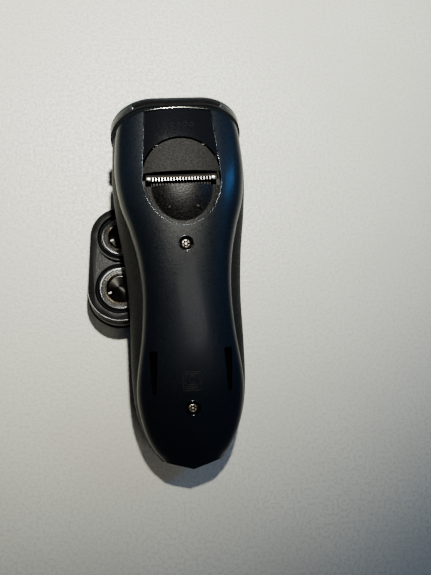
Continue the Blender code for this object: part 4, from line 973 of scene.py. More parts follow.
def cover_screws():
    """Pan heads with a six-lobed recess, each in its own well."""
    for back, name in zip(SCREW_BACKS, ("upper", "lower")):
        seat = back_height(0, back) - 3.4 * MM
        at = Matrix.Translation((0, y_of(back), seat))
        well = lathe(f"well_{name}",
                     [(1.2 * MM, -6 * MM), (SCREW_HOLE - GAP, -6 * MM),
                      (SCREW_HOLE - GAP, 2.5 * MM), (SCREW_HOLE - GAP - 0.2 * MM, 2.7 * MM),
                      (SCREW_HEAD + 0.36 * MM, 2.5 * MM), (SCREW_HEAD + GAP, 2.2 * MM),
                      (SCREW_HEAD + GAP, 0), (1.2 * MM, 0)], "black", at, slot="black_plastic")
        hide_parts(f"screw_well_{name}")
        top = 1.9 * MM
        screw = lathe(f"screw_{name}",
                      [(0, -8 * MM), (0.9 * MM, -7 * MM), (0.9 * MM, GAP), (SCREW_HEAD, GAP),
                       (SCREW_HEAD, 1.2 * MM), (SCREW_HEAD - 0.08 * MM, 1.5 * MM),
                       (SCREW_HEAD - 0.35 * MM, 1.75 * MM), (SCREW_HEAD - 0.8 * MM, top),
                       (0, top)], "screw", None, slot="steel")
        lobes = []
        for k in range(72):
            turn = 2 * math.pi * k / 72
            reach = (1.4 + 0.26 * math.cos(6 * turn)) * MM
            lobes.append((reach * math.cos(turn), reach * math.sin(turn)))
        boolean(screw, tool(lobes, 0.6 * MM, 4 * MM))
        pin = tool(circle(0.5 * MM, sectors=20), 0.5 * MM, 1.6 * MM)
        boolean(screw, pin, "UNION")
        screw.data.transform(at)
        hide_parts(f"cover_screw_{name}")
        # a near-black plate on the recess floor: painted shade in each screw's recess
        shade_in = [(0.93 * x, 0.93 * y) for x, y in lobes]
        prism(f"screw_recess_shade_{name}", shade_in, 0.55 * MM, 0.66 * MM, "recess_shade", at, slot="steel")


# ---- Trimmer -----------------------------------------------------------------------------------
def disc_half(back, radius, reach):
    away = (back - DISC_BACK) / reach
    return radius * math.sqrt(max(1 - away * away, 0.0004))


def patch(name, first, last, half_at, top_at, low_at, finish, rows, columns, bow=0.0, arch=0.0,
          **more):
    """A plate whose width, top and underside follow the place; bow and arch curve its ends."""
    outer, inner = [], []
    for i in range(rows + 1):
        share = 0.5 - 0.5 * math.cos(math.pi * i / rows)
        back = first + (last - first) * share
        half = half_at(back)
        for k in range(columns + 1):
            x = half * math.sin(math.pi * (k / columns - 0.5))
            lift = bow * share * (1 - (x / DISC) ** 2) if half > 1 * MM else 0
            at = back - lift + arch * (1 - share) * x * x
            outer.append((x, y_of(at), top_at(x, at)))
            inner.append((x, y_of(at), low_at(x, at)))
    made = piece(name, outer + inner, wall_faces(rows + 1, columns + 1), finish, **more)
    return soften(made, 0.22 * MM, 2, 48)


def panel_and_strip():
    def half(back):
        share = (back + 6 * MM) / (DISC_BACK + 6 * MM)
        return WINDOW_TOP + (DISC + WINDOW_GAP - WINDOW_TOP) * share - GAP

    panel = patch("trimmer_bezel", 0.4 * MM, LID_END_BACK + 0.4 * MM, half,
                  lambda x, back: back_height(x, back) - 0.4 * MM,
                  lambda x, back: back_height(x, back) - 1.1 * MM, "panel", 70, 60,
                  arch=HEAD_ARCH, slot="black_gloss")
    boolean(panel, tool(circle(DISC + BEZEL_GAP, (0, y_of(DISC_BACK)), 128), 0, PLATE_DEPTH))
    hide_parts("trimmer_panel")
    low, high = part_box("trim_strip")
    path = []
    for k in range(41):
        x = low.x + (high.x - low.x) * k / 40
        y = (low.y + high.y) / 2 - 0.02 * MM - HEAD_ARCH * x * x
        path.append((x, y, back_height(x, HEAD_EDGE_Y - y) - 0.02 * MM))
    strip = tube("head_trim", path, 0.3 * MM, "chrome", sides=12, squash=0.9, slot="chrome")
    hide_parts("trim_strip")
    for k in range(5):
        x = (k - 2) * 2.9 * MM
        spot = [(x + px, y_of(7.6 * MM) + py, back_height(x + px, 7.6 * MM - py) - 0.44 * MM)
                for px, py in circle(0.85 * MM, sectors=20)]
        tube(f"grip_ring_{k + 1}", spot, 0.14 * MM, "black", closed=True, squash=0.8,
             slot="black_gloss")


def lid():
    """The matt half disc, its hinge arms and the shelf that carries the comb."""
    top = patch("lid_plate", DISC_BACK - DISC, LID_END_BACK,
                lambda back: disc_half(back, DISC, DISC),
                lambda x, back: back_height(x, back) - 0.5 * MM,
                lambda x, back: back_height(x, back) - 1.7 * MM, "lid", 56, 64,
                bow=0.5 * MM, body="trimmer_body", slot="matt_charcoal")
    reach = 1.4 * MM
    on_its_side = Matrix(((0, 0, 1, 0), (1, 0, 0, 0), (0, 1, 0, 0), (0, 0, 0, 1)))
    for side, name in ((-1, "left"), (1, "right")):
        x = side * 5 * MM
        outline = [(HINGE.y + reach * math.cos(a), HINGE.z + reach * math.sin(a))
                   for a in (math.radians(20 * k) for k in range(-9, 6))]
        outline += [(HINGE.y + 1.2 * MM, HINGE.z + 1.0 * MM),
                    (HINGE.y - 3 * MM, HINGE.z + 1.1 * MM),
                    (HINGE.y - 3 * MM, HINGE.z - 0.4 * MM)]
        arm = prism(f"lid_arm_{name}", hull(outline), x - 1.5 * MM, x + 1.5 * MM, "lid",
                    on_its_side, body="trimmer_body", slot="matt_charcoal")
        soften(arm, 0.15 * MM)
    level = crown(LID_END_BACK) - COMB_LEVEL
    shelf = prism("lid_shelf", rectangle((-12 * MM, y_of(LID_END_BACK - 0.6 * MM)),
                                         (12 * MM, y_of(LID_END_BACK - 7 * MM))),
                  level + 0.25 * MM, level + 1.9 * MM, "lid", body="trimmer_body",
                  slot="matt_charcoal")
    soften(shelf, 0.2 * MM)
    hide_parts("trimmer_lid")


def hull(points):
    """The convex outline of a set of points, turning left."""
    ordered = sorted(set(points))

    def turn(a, b, c):
        return (b[0] - a[0]) * (c[1] - a[1]) - (b[1] - a[1]) * (c[0] - a[0])

    def half(run):
        kept = []
        for p in run:
            while len(kept) > 1 and turn(kept[-2], kept[-1], p) <= 0:
                kept.pop()
            kept.append(p)
        return kept[:-1]

    return half(ordered) + half(ordered[::-1])


def comb_and_blade():
    """A comb with square teeth, a thin spring strip along them, and the moving blade under it."""
    level = crown(LID_END_BACK) - COMB_LEVEL
    plate = 0.5 * MM
    first = LID_END_BACK - 5.4 * MM
    root, tip = TOOTH_ROOT, TOOTH_TIP
    end = 1.9 * MM
    corners = [(-COMB_HALF, tip), (-COMB_HALF + end, tip), (-COMB_HALF + end, root),
               (COMB_HALF - end, root), (COMB_HALF - end, tip),
               (COMB_HALF, tip), (COMB_HALF, first), (-COMB_HALF, first)]
    outline = [(x, y_of(back)) for x, back in corners]
    # the comb plate is painted near-black steel: painted shade under the lid
    comb = prism("comb_plate", outline, level - plate, level, "shaded_steel", body="trimmer_body",
                 slot="chrome")
    soften(comb, 0.12 * MM)
    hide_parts("trimmer_comb")
    for side, name in ((-1, "left"), (1, "right")):
        near, far = sorted((side * (COMB_HALF - 0.05 * MM), side * (COMB_HALF - 2.7 * MM)))
        block = prism(f"comb_end_{name}", rectangle((near, y_of(tip - 0.05 * MM)),
                                                    (far, y_of(root - 0.5 * MM))),
                      level - 0.2 * MM, level + 0.16 * MM, "chrome", body="trimmer_body",
                      slot="chrome")
        soften(block, 0.12 * MM)
    spread = COMB_HALF - end - 1.35 * MM
    length = tip - root
    at = Matrix.Translation((0, y_of((root + tip) / 2) + 0.05 * MM, level - plate / 2))
    repeated("comb_teeth", ROW, TEETH, spread, (0.54 * MM, length + 0.1 * MM, plate * 0.96),
             "chrome", at, rounding=0.1 * MM, body="trimmer_body", slot="chrome")
    strip = prism("comb_spring", rectangle((-COMB_HALF + 0.5 * MM, y_of(31.3 * MM)),
                                           (COMB_HALF - 0.5 * MM, y_of(31.05 * MM))),
                  level + 0.02 * MM, level + 0.2 * MM, "bronze", body="trimmer_body", slot="chrome")
    soften(strip, 0.05 * MM, 1)
    high = level - plate - 0.1 * MM
    # the blade and its teeth are painted near-black steel: painted shade under the comb
    blade = prism("blade_plate", rectangle((-COMB_HALF + 1.5 * MM, y_of(31.2 * MM)),
                                           (COMB_HALF - 1.5 * MM, y_of(first + 0.8 * MM))),
                  high - plate, high, "shaded_steel", body="trimmer_blade_body", slot="steel")
    soften(blade, 0.1 * MM)
    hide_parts("trimmer_blade")
    at = Matrix.Translation((0, y_of(31.65 * MM), high - plate / 2))
    repeated("blade_teeth", ROW, TEETH + 2, COMB_HALF - 2.0 * MM,
             (0.55 * MM, 1.9 * MM, plate * 0.9), "shaded_steel", at, rounding=0.08 * MM,
             body="trimmer_blade_body", slot="steel")


def slide_height(x, back):
    away = math.hypot(x, (back - SLIDE_START_BACK) * 0.86)
    share = min(max((away - 1 * MM) / (12.5 * MM), 0), 1)
    return back_height(x, back) + 0.6 * MM - 3.05 * MM * share**2.6


def thumb_slide():
    """The thumb pad: a dome with two nubs, and the stem that guides it."""
    reach = SLIDE_REACH - 0.4 * MM
    pad = patch("thumb_pad", SLIDE_START_BACK, DISC_BACK + reach - 0.02 * MM,
                lambda back: disc_half(back, DISC, reach), slide_height,
                lambda x, back: slide_height(x, back) - 2.2 * MM, "thumb", 72, 72,
                body="trimmer_slide_body", slot="black_plastic")
    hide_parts("trimmer_slide")
    for side, name in ((-1, "left"), (1, "right")):
        x, back = side * 6.3 * MM, 45.2 * MM
        at = Matrix.Translation((x, y_of(back), slide_height(x, back) - 0.12 * MM))
        lathe(f"thumb_nub_{name}",
              [(1.15 * MM, -0.1 * MM), (1.0 * MM, 0.12 * MM), (0.7 * MM, 0.3 * MM),
               (0.35 * MM, 0.4 * MM), (0, 0.42 * MM), (0, -0.1 * MM)], "thumb", at, 24,
              body="trimmer_slide_body", slot="black_plastic")
    back = 44 * MM
    low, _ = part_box("trimmer_slide")
    stem = prism("thumb_stem", rectangle((-4 * MM, y_of(back + 2 * MM)),
                                         (4 * MM, y_of(back - 2 * MM))),
                 low.z, slide_height(4 * MM, back + 2 * MM) - 0.5 * MM, "thumb",
                 body="trimmer_slide_body", slot="black_plastic")
    soften(stem, 0.2 * MM)


# ---- Head end ----------------------------------------------------------------------------------
SPINDLES = [(SPINDLE_CIRCLE * math.cos(a), SPINDLE_CIRCLE * math.sin(a))
            for a in (math.radians(-150), math.radians(-30), math.radians(90))]


def head_outline(shrink):
    corner_y = RIM_CORNER - RIM_FLAT
    centres = [(-RIM_CORNER_X, corner_y), (RIM_CORNER_X, corner_y), SPINDLES[2]]
    return round_triangle(centres, [r - shrink for r in (RIM_CORNER, RIM_CORNER, CHIN_LOBE)])


def chamber():
    """The slate rim with its lip and inner ledge, the chamber's floor, and the latch ribs."""
    r = 0.3 * MM
    floor = -SKIRT + RIM_FLOOR
    profile = [(r, -SKIRT), (0.09 * MM, -SKIRT + 0.09 * MM), (0, -SKIRT + r), (0, -LIP - 0.35 * MM),
               (0.22 * MM, -LIP - 0.18 * MM), (0.22 * MM, -LIP - 0.02 * MM), (0, -LIP + 0.15 * MM),
               (0, -r), (0.09 * MM, -0.09 * MM), (r, 0), (RIM_WALL - 0.5 * MM, 0),
               (RIM_WALL - 0.12 * MM, -0.15 * MM), (RIM_WALL, -0.5 * MM),
               (RIM_WALL, floor - 0.2 * MM), (RIM_WALL + 0.4 * MM, floor - 0.2 * MM),
               (RIM_WALL + 0.4 * MM, -SKIRT)]
    rim = moulding("chamber_rim", head_outline, profile, "slate", HEAD, slot="slate_paint")
    run_off = RELEASE_HALF - RIM_CORNER_X
    drop = RIM_CORNER - math.sqrt(RIM_CORNER**2 - run_off**2)
    inner = -RIM_FLAT + drop + 1.15 * RIM_WALL
    outside = -RIM_FLAT - 5 * MM
    boolean(rim, tool(rectangle((-RELEASE_HALF, outside), (RELEASE_HALF, inner + 1.4 * MM)),
                      floor, -LIP, HEAD))
    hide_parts("hair_chamber")
    moulding("chamber_foot_band", head_outline,
             [(0.4 * MM, -SKIRT), (-0.06 * MM, -SKIRT), (-0.08 * MM, floor - 0.1 * MM),
              (-0.02 * MM, floor), (0.4 * MM, floor)], "black", HEAD, slot="slate_paint")
    plate = prism("chamber_floor", head_outline(RIM_WALL + 0.45 * MM), -SKIRT, floor, "black", HEAD,
                  slot="slate_paint")
    for centre in SPINDLES:
        boolean(plate, tool(circle(SPINDLE_TIP + 0.35 * MM, centre, 40), -2 * SKIRT, 5 * MM, HEAD))
    soften(plate, 0.12 * MM)
    for number, centre in enumerate(SPINDLES, 1):
        at = HEAD @ Matrix.Translation((*centre, floor))
        lathe(f"spindle_collar_{number}",
              [(SPINDLE_TIP + 0.4 * MM, 0), (4.3 * MM, 0), (4.3 * MM, 0.35 * MM),
               (3.9 * MM, 0.55 * MM), (3.3 * MM, 0.6 * MM), (SPINDLE_TIP + 0.55 * MM, 0.6 * MM),
               (SPINDLE_TIP + 0.4 * MM, 0.45 * MM)], "band", at, 40, slot="slate_paint")
    ribs = (("left", 150, 11), ("right", 30, 11), ("back", 270, 13))
    for name, angle, reach in ribs:
        turn = math.radians(angle)
        at = HEAD @ Matrix.Rotation(turn, 4, "Z")
        rib = prism(f"chamber_rib_{name}", rectangle((4 * MM, -0.5 * MM), (reach * MM, 0.5 * MM)),
                    floor, floor + 1.1 * MM, "black", at, slot="slate_paint")
        soften(rib, 0.15 * MM)
    # the neck below the chamber is painted near-black: painted shade under the head
    neck = moulding("chamber_neck", head_outline,
                    [(3.2 * MM, -SKIRT - 4 * MM), (3.2 * MM, -SKIRT + 0.1 * MM),
                     (4.4 * MM, -SKIRT + 0.1 * MM), (4.4 * MM, -SKIRT - 4 * MM)], "recess_shade", HEAD,
                    slot="slate_paint")
    shade(neck)
    release_bar(floor, inner, outside)


def release_bar(floor, inner, outside):
    """The black press bar let into the rim's back edge."""
    bar = prism("release_bar", head_outline(0.05 * MM), floor + GAP, -LIP - GAP, "black", HEAD,
                body="release_button_body", slot="matt_charcoal")
    boolean(bar, tool(head_outline(RIM_WALL), -2 * SKIRT, 5 * MM, HEAD))
    ends = RELEASE_HALF - GAP
    boolean(bar, tool(rectangle((-ends, outside), (ends, inner)), -2 * SKIRT, 5 * MM, HEAD),
            "INTERSECT")
    soften(bar, 0.2 * MM, 2, 40)
    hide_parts("release_button")


def spindles():
    """Hollow drive caps with a cross slot, on white shafts."""
    for number, centre in enumerate(SPINDLES, 1):
        at = HEAD @ Matrix.Translation((*centre, 0))
        low = -SKIRT + RIM_FLOOR - 1.6 * MM
        wide, neck, bore = SPINDLE_TIP, SPINDLE_TIP - 0.2 * MM, 1.18 * MM
        tip = lathe(f"spindle_{number}",
                    [(bore, low), (neck, low), (neck, -LIP), (wide, -LIP + 0.15 * MM),
                     (wide, -0.2 * MM), (wide - 0.15 * MM, 0.1 * MM), (1.6 * MM, 0.7 * MM),
                     (1.2 * MM, 0.8 * MM), (0, 0.8 * MM), (0, -1.6 * MM), (bore, -1.6 * MM)],
                    "white", None, 40, body=f"drive_spindle_body_{number}", slot="steel")
        cross = rectangle((-0.3 * MM, -3 * MM), (0.3 * MM, 3 * MM))
        boolean(tip, tool(cross, 0.2 * MM, 3 * MM))
        tip.data.transform(at)
        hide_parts(f"drive_spindle_{number}")


# ---- Front controls and tail -------------------------------------------------------------------
def controls():
    """The gloss inlay, the power button with its ring, and the charge light."""
    first, last = grip(0.04), grip(0.34)
    rows, columns = 50, 40
    outer, inner = [], []
    for i in range(rows + 1):
        back = first + (last - first) * i / rows
        swell = math.sin(math.pi * (0.12 + 0.76 * i / rows))
        half = 10.5 * MM * swell ** 0.5
        for k in range(columns + 1):
            x = half * (2 * k / columns - 1)
            top = front_height(x, back)
            outer.append((x, y_of(back), top - 1.7 * MM))
            inner.append((x, y_of(back), top - 0.75 * MM))
    inlay = piece("grip_inlay", outer + inner, wall_faces(rows + 1, columns + 1), "panel",
                  slot="black_gloss")
    for hole in front_holes():
        boolean(inlay, tool(hole, 0, FRONT_DEPTH))
    soften(inlay, 0.2 * MM, 2, 48)
    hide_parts("control_panel")
    low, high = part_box("power_button")
    at = Matrix.Translation((0, (low.y + high.y) / 2, low.z))
    height = high.z - low.z
    flange = BUTTON + 1.2 * MM
    button = lathe("power_key",
                   [(0, 0.55 * MM), (BUTTON - 2.6 * MM, 0.4 * MM), (BUTTON - 1.4 * MM, 0.12 * MM),
                    (BUTTON - 0.8 * MM, 0), (BUTTON - 0.25 * MM, 0.08 * MM),
                    (BUTTON, 0.4 * MM), (BUTTON, height - 0.8 * MM), (flange, height - 0.8 * MM),
                    (flange, height), (0, height)], "slate", at, 64, body="power_button_body",
                   slot="slate_paint")
    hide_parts("power_button")
    ring = lathe("power_key_ring",
                 [(3.0 * MM, 0.36 * MM), (3.4 * MM, 0.28 * MM), (3.5 * MM, 0.5 * MM),
                  (3.0 * MM, 0.6 * MM)], "chrome", at, 48, body="power_button_body",
                 slot="slate_paint")
    shade(ring)


def tail():
    """Satin finish on the tail cap, and a raised lip round its socket."""
    frame["nodes"]["charging_socket"].data.materials[0] = FINISHES["black"]
    middle = (crown(HANDLE_LENGTH) + keel(HANDLE_LENGTH)) / 2
    lip = []
    for x, z in rounded_box(4.7 * MM, 3.2 * MM, 0.7 * MM):
        lip.append((x, y_of(HANDLE_LENGTH) + abs(x) * TAIL_SLOPE + 0.05 * MM, middle + z))
    upright_bead("socket_lip", lip, 0.28 * MM, "band")


def rounded_box(half, tall, radius):
    steps = 6
    outline = []
    for k, (sx, sy) in enumerate(((1, 1), (-1, 1), (-1, -1), (1, -1))):
        for step in range(steps + 1):
            turn = math.pi / 2 * (k + step / steps)
            outline.append((sx * (half - radius) + radius * math.cos(turn),
                            sy * (tall - radius) + radius * math.sin(turn)))
    return outline


def upright_bead(name, path, radius, finish):
    """A bead along a closed path that lies in an upright plane."""
    count, sides = len(path), 8
    centre = sum((Vector(p) for p in path), Vector()) / count
    points = []
    for here in path:
        out = Vector(here) - centre
        out.y = 0
        out.normalize()
        for s in range(sides):
            turn = 2 * math.pi * s / sides
            points.append(Vector(here) + out * (radius * math.cos(turn))
                          + Vector((0, radius * math.sin(turn), 0)))
    return piece(name, points, loop_faces(count, sides), finish, slot="black_plastic")


# ---- Shaving unit ------------------------------------------------------------------------------
UNIT_PLACES = [(SPINDLE_CIRCLE * math.cos(a), SPINDLE_CIRCLE * math.sin(a))
               for a in (0, math.radians(120), math.radians(240))]


def unit_outline(lobe):
    return round_triangle(UNIT_PLACES, [lobe] * 3)


def unit_walls():
    """The black base, and the smooth band that rises to the leaning frame."""
    def at(lobe):
        return lambda inset: unit_outline(lobe - inset)

    base = moulding("unit_foot", at(UNIT_LOBE),
                    [(0.5 * MM, 0), (0.12 * MM, 0.12 * MM), (0, 0.5 * MM),
                     (0, UNIT_BASE - 0.5 * MM),
                     (0.15 * MM, UNIT_BASE - 0.12 * MM), (0.5 * MM, UNIT_BASE),
                     (8.2 * MM, UNIT_BASE), (8.2 * MM, UNIT_BASE - 1.6 * MM),
                     (1.6 * MM, UNIT_BASE - 1.6 * MM), (1.6 * MM, 0)],
                    "black", UNIT, body="shaving_unit", slot="black_plastic")
    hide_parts("unit_base")
    low, groove = UNIT_BASE + GAP, 0.5 * MM
    outline_out, outline_in = unit_outline(BAND_LOBE), unit_outline(BAND_LOBE - 1.6 * MM)
    count = len(outline_out)
    points = []
    tops = []
    for loop in (outline_out, outline_in):
        points += [UNIT @ Vector((x, y, low)) for x, y in loop]
    for loop in (outline_out, outline_in):
        for x, y in loop:
            foot, head = UNIT @ Vector((x, y, 0)), UNIT @ Vector((x, y, 30 * MM))
            plane = LEAN @ Vector((0, 0, FRAME_LOW - groove))
            normal = LEAN.to_3x3() @ Vector((0, 0, 1))
            t = (plane - foot).dot(normal) / (head - foot).dot(normal)
            tops.append(foot.lerp(head, t))
    points += tops
    faces = []
    for a, b in ((0, 1), (1, 3), (3, 2), (2, 0)):
        for k in range(count):
            t = (k + 1) % count
            faces.append((a * count + k, a * count + t, b * count + t, b * count + k))
    band = piece("unit_belt", points, faces, "rubber", body="shaving_unit", slot="grey_rubber")
    soften(band, 0.2 * MM)
    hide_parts("unit_band")


def cutter_housing():
    """The frame's skirt, its top with the three bores, and the raised collars."""
    def at(inset):
        return unit_outline(FRAME_LOBE - inset)

    profile = [(0.35 * MM, FRAME_LOW), (0.1 * MM, FRAME_LOW + 0.1 * MM), (0, FRAME_LOW + 0.35 * MM),
               (0, FRAME_HIGH - 2.4 * MM), (0.25 * MM, FRAME_HIGH - 2.2 * MM),
               (0.25 * MM, FRAME_HIGH - 1.9 * MM), (0, FRAME_HIGH - 1.7 * MM),
               (0, FRAME_HIGH - 0.6 * MM), (0.18 * MM, FRAME_HIGH - 0.18 * MM),
               (0.6 * MM, FRAME_HIGH)]
    hollow = [(1.6 * MM, FRAME_HIGH - 1.4 * MM), (1.6 * MM, FRAME_LOW)]
    loops = [[(x, y, z) for x, y in at(inset)] for inset, z in profile + hollow]
    count = len(loops[0])
    points = [p for loop in loops for p in loop]
    faces = loop_faces(len(profile), count, closed=False)
    base = len(profile) * count
    faces.append(tuple(range(base - count, base)))
    faces += [tuple(v + base for v in face) for face in loop_faces(2, count, closed=False)]
    faces.append(tuple(range(base, base + count)))
    faces += [(k, (k + 1) % count, base + count + (k + 1) % count, base + count + k)
              for k in range(count)]
    housing = piece("head_housing", points, faces, "black", LEAN, body="shaving_unit",
                    slot="black_plastic")
    axes = [cutter_frame(n) for n in (1, 2, 3)]
    for axis in axes:
        boolean(housing, tool(circle(HEAD_BORE + 0.7 * MM, sectors=96), -3.5 * MM, 0.0, axis),
                "UNION")
    for axis in axes:
        boolean(housing, tool(circle(HEAD_BORE, sectors=90), -9 * MM, 9 * MM, axis))
    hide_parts("cutter_frame")
    # a bead along the housing's top edge in the paler lip grey: painted highlight on the edge, with
    # a gloss that also catches real highlights
    edge = [(x, y, FRAME_HIGH - 0.2 * MM) for x, y in unit_outline(FRAME_LOBE - 0.22 * MM)]
    tube("housing_edge", edge, 0.16 * MM, "lip", closed=True, matrix=LEAN, body="shaving_unit",
         slot="black_plastic")
    for number, axis in enumerate(axes, 1):
        # collar lips in the paler lip grey: painted highlight round each bore, with a gloss that
        # also catches real highlights
        lathe(f"collar_lip_{number}",
              [(HEAD_BORE + 0.02 * MM, -0.5 * MM), (HEAD_BORE + 0.72 * MM, -0.5 * MM),
               (HEAD_BORE + 0.72 * MM, 0.02 * MM), (HEAD_BORE + 0.55 * MM, 0.2 * MM),
               (HEAD_BORE + 0.25 * MM, 0.24 * MM), (HEAD_BORE + 0.02 * MM, 0.05 * MM)],
              "lip", axis, 96, body="shaving_unit", slot="black_plastic")


def shaving_heads():
    """Three floating rings, each with a slotted guard, its gold inner edge, a cap and a cutter."""
    top = FOIL_TOP
    for number in (1, 2, 3):
        axis = cutter_frame(number)
        body = f"head_{number}"
        ring = lathe(f"float_ring_{number}",
                     [(RING_INNER, -2.6 * MM), (RING_OUTER, -2.6 * MM), (RING_OUTER, -0.5 * MM),
                      (RING_OUTER - 0.15 * MM, -0.18 * MM), (RING_OUTER - 0.5 * MM, -0.02 * MM),
                      (RING_INNER + 0.2 * MM, -0.1 * MM), (RING_INNER, -0.35 * MM)],
                     "black", axis, 96, body=body, slot="black_plastic")
        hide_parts(f"head_ring_{number}")
        guard = lathe(f"foil_{number}",
                      [(GUARD_OUTER, top - 3.0 * MM), (GUARD_OUTER, top - 0.9 * MM),
                       (GUARD_OUTER - 0.12 * MM, top - 0.45 * MM),
                       (GUARD_OUTER - 0.5 * MM, top - 0.12 * MM), (GUARD_OUTER - 0.95 * MM, top),
                       (GUARD_OUTER - 1.1 * MM, top - 0.02 * MM),
                       (GUARD_OUTER - 1.1 * MM, top - 0.5 * MM),
                       (GUARD_OUTER - 0.6 * MM, top - 1.2 * MM),
                       (GUARD_OUTER - 0.6 * MM, top - 3.0 * MM)],
                      "foil", axis, 96, body=body, slot="foil_steel")
        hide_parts(f"guard_{number}")
        lathe(f"foil_inner_{number}",
              [(GUARD_INNER, top - 1.4 * MM), (GUARD_INNER + 0.3 * MM, top - 1.4 * MM),
               (GUARD_INNER + 0.34 * MM, top - 0.5 * MM),
               (GUARD_INNER + 0.34 * MM, top - 0.08 * MM), (GUARD_INNER + 0.24 * MM, top),
               (GUARD_INNER + 0.08 * MM, top - 0.06 * MM),
               (GUARD_INNER, top - 0.3 * MM)],
              "gold", axis, 96, body=body, slot="foil_steel")
        bars = axis @ Matrix.Translation((0, 0, top - 0.22 * MM))
        inner_edge = GUARD_INNER + 0.3 * MM
        outer_edge = GUARD_OUTER - 1.02 * MM
        repeated(f"foil_bars_{number}", RING, 76, (inner_edge + outer_edge) / 2,
                 (0.36 * MM, outer_edge - inner_edge + 0.1 * MM, 0.4 * MM), "bright", bars,
                 rounding=0.08 * MM, body=body, slot="foil_steel")
        head_cap(number, axis, body, top)
        cutter(number, axis, top)


def head_cap(number, axis, body, top):
    """The dark spun cap in the middle of a head, with a bright locating dash."""
    edge = 6.7 * MM
    cap = lathe(f"cap_{number}",
                [(0, top - 1.4 * MM), (edge, top - 1.4 * MM), (edge, top - 0.75 * MM),
                 (edge - 0.12 * MM, top - 0.5 * MM), (edge - 0.45 * MM, top - 0.32 * MM),
                 (edge - 1.2 * MM, top - 0.3 * MM), (2.0 * MM, top - 0.16 * MM),
                 (0, top - 0.1 * MM)], "cap", axis, 96, body=body, slot="smoked_cap")
    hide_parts(f"head_cap_{number}")
    at = axis @ Matrix.Rotation(math.radians(200), 4, "Z")
    dash = prism(f"cap_dash_{number}", rectangle((4.5 * MM, -0.36 * MM), (6.0 * MM, 0.36 * MM)),
                 top - 0.5 * MM, top - 0.2 * MM, "white", at, body=body, slot="smoked_cap")
    soften(dash, 0.08 * MM)


def cutter(number, axis, top):
    """A hub, a thin disc, and upright blades under the guard's bars."""
    high = top - 1.4 * MM - GAP
    body = f"cutter_body_{number}"
    hub = lathe(f"cutter_hub_{number}",
                [(3.4 * MM, high - 4.6 * MM), (3.4 * MM, high - 1.2 * MM),
                 (5.4 * MM, high - 1.0 * MM), (8.9 * MM, high - 0.9 * MM),
                 (8.9 * MM, high - 0.55 * MM),
                 (5.2 * MM, high - 0.5 * MM), (0, high - 0.5 * MM), (0, high - 2.2 * MM),
                 (1.9 * MM, high - 2.2 * MM), (1.9 * MM, high - 4.6 * MM)],
                "steel", axis, 64, body=body, slot="steel")
    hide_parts(f"cutter_{number}")
    at = axis @ Matrix.Translation((0, 0, high - 0.35 * MM))
    repeated(f"cutter_blades_{number}", RING, 15, 8.35 * MM, (0.3 * MM, 1.5 * MM, 0.7 * MM),
             "bright", at, body=body, slot="steel")


def retaining_frame():
    """The white spider that holds the cutters in."""
    level = FRAME_HIGH - 6.6 * MM
    plate = prism("retaining_spider", unit_outline(6.2 * MM), level - 1.2 * MM, level, "white",
                  LEAN, body="shaving_unit", slot="white_acetal")
    for place in UNIT_PLACES:
        boolean(plate, tool(circle(4.4 * MM, place, 48), 0, 2 * FRAME_HIGH, LEAN))
    for k in range(3):
        turn = math.radians(60 + 120 * k)
        spot = (7.0 * MM * math.cos(turn), 7.0 * MM * math.sin(turn))
        boolean(plate, tool(circle(1.8 * MM, spot, 32), 0, 2 * FRAME_HIGH, LEAN))
    soften(plate, 0.15 * MM)
    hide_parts("retaining_plate")


# ---- Finishes for the pieces that keep their CAD shape -----------------------------------------
KEPT = {
    "black": ["gear_plate", "motor_mount", "power_switch", "trimmer_cradle"],
    "steel": ["motor_pinion", "trimmer_hinge_pin", "motor"],
    "white": ["centre_gear", "spindle_gear_1", "spindle_gear_2", "spindle_gear_3"],
    "chrome": ["socket_contact_left", "socket_contact_right"],
    "green": ["circuit_board"],
    "wrap": ["battery_left", "battery_right"],
    "lens": ["charge_light"],
}


def finish_kept_nodes():
    for finish, names in KEPT.items():
        for name in names:
            frame["nodes"][name].data.materials[0] = FINISHES[finish]


# ---- Table, light and camera -------------------------------------------------------------------
def table_top():
    mesh = bpy.data.meshes.new("table_top")
    half = 1.6
    mesh.from_pydata([(-half, -half, 0), (half, -half, 0), (half, half, 0), (-half, half, 0)], [],
                     [(0, 1, 2, 3)])
    floor = bpy.data.objects.new("table_top", mesh)
    bpy.context.scene.collection.objects.link(floor)
    mesh.materials.append(table_laminate())
    floor.location.z = -0.02 * MM


def set_light(light, name, where, aim, power, colour):
    light.energy = power
    light.color = colour
    lamp = bpy.data.objects.new(name, light)
    bpy.context.scene.collection.objects.link(lamp)
    lamp.location = where
    lamp.rotation_euler = (Vector(where) - Vector(aim)).to_track_quat("Z", "Y").to_euler()


def area_light(name, where, aim, size, power, colour):
    light = bpy.data.lights.new(name, "AREA")
    light.shape = "RECTANGLE"
    light.size, light.size_y = size
    set_light(light, name, where, aim, power, colour)


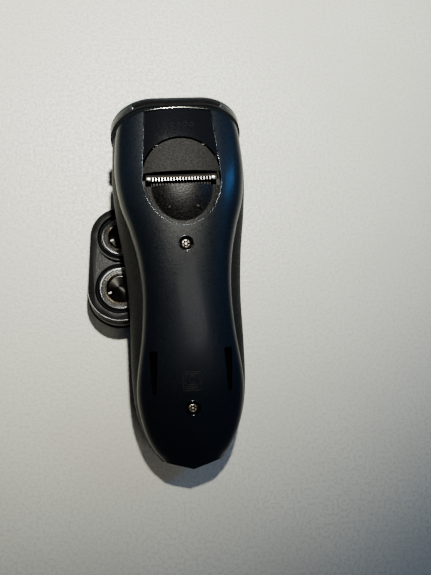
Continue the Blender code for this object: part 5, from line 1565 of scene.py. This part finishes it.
def spot_light(name, where, aim, radius, cone, power, colour):
    light = bpy.data.lights.new(name, "SPOT")
    light.shadow_soft_size = radius
    light.spot_size = math.radians(cone)
    light.spot_blend = 1.0
    set_light(light, name, where, aim, power, colour)


def lights():
    """A lamp beyond the head end, a dim panel overhead, a faint fill and a small blue window."""
    spot_light("key", (0.015, 0.24, 0.74), (-0.05, 0.17, 0), 0.020, 57, 67, (1, 0.985, 0.875))
    area_light("ceiling", (0.14, -0.32, 1.0), (0, -0.05, 0.03), (0.24, 0.40), 1.0, (1, 0.95, 0.88))
    area_light("left_fill", (-0.75, 0.1, 0.45), (0, -0.05, 0.02), (0.25, 0.9), 0.05, (0.9, 0.95, 1))
    area_light("right_window", (0.55, 0.12, 0.40), (0, -0.05, 0.02), (0.09, 0.24), 0.9,
               (0.06, 0.36, 1))
    world = bpy.data.worlds.new("studio")
    bpy.context.scene.world = world
    world.use_nodes = True
    world.node_tree.nodes["Background"].inputs["Color"].default_value = (0.80, 0.86, 1.0, 1)
    world.node_tree.nodes["Background"].inputs["Strength"].default_value = 0.02


def camera():
    """Almost straight down, a little from the left and from the tail end."""
    data = bpy.data.cameras.new("camera")
    data.sensor_width = 36
    data.lens = 50.09
    made = bpy.data.objects.new("camera", data)
    bpy.context.scene.collection.objects.link(made)
    from_left, from_tail, roll = math.radians(7.3), math.radians(7.0), math.radians(3.9)
    back = Vector((-math.tan(from_left), -math.tan(from_tail), 1)).normalized()
    up = Vector((math.sin(roll), math.cos(roll), 0))
    x = up.cross(back).normalized()
    y = back.cross(x)
    place = Matrix((x, y, back)).transposed().to_4x4()
    place.translation = (-32.54 * MM, -95.13 * MM, 399.39 * MM)
    made.matrix_world = place
    bpy.context.scene.camera = made


camera()
front_casing()
back_casing()
embossed_mark()
cover_screws()
panel_and_strip()
lid()
comb_and_blade()
thumb_slide()
chamber()
spindles()
controls()
tail()
unit_walls()
cutter_housing()
shaving_heads()
retaining_frame()
finish_kept_nodes()
table_top()
lights()
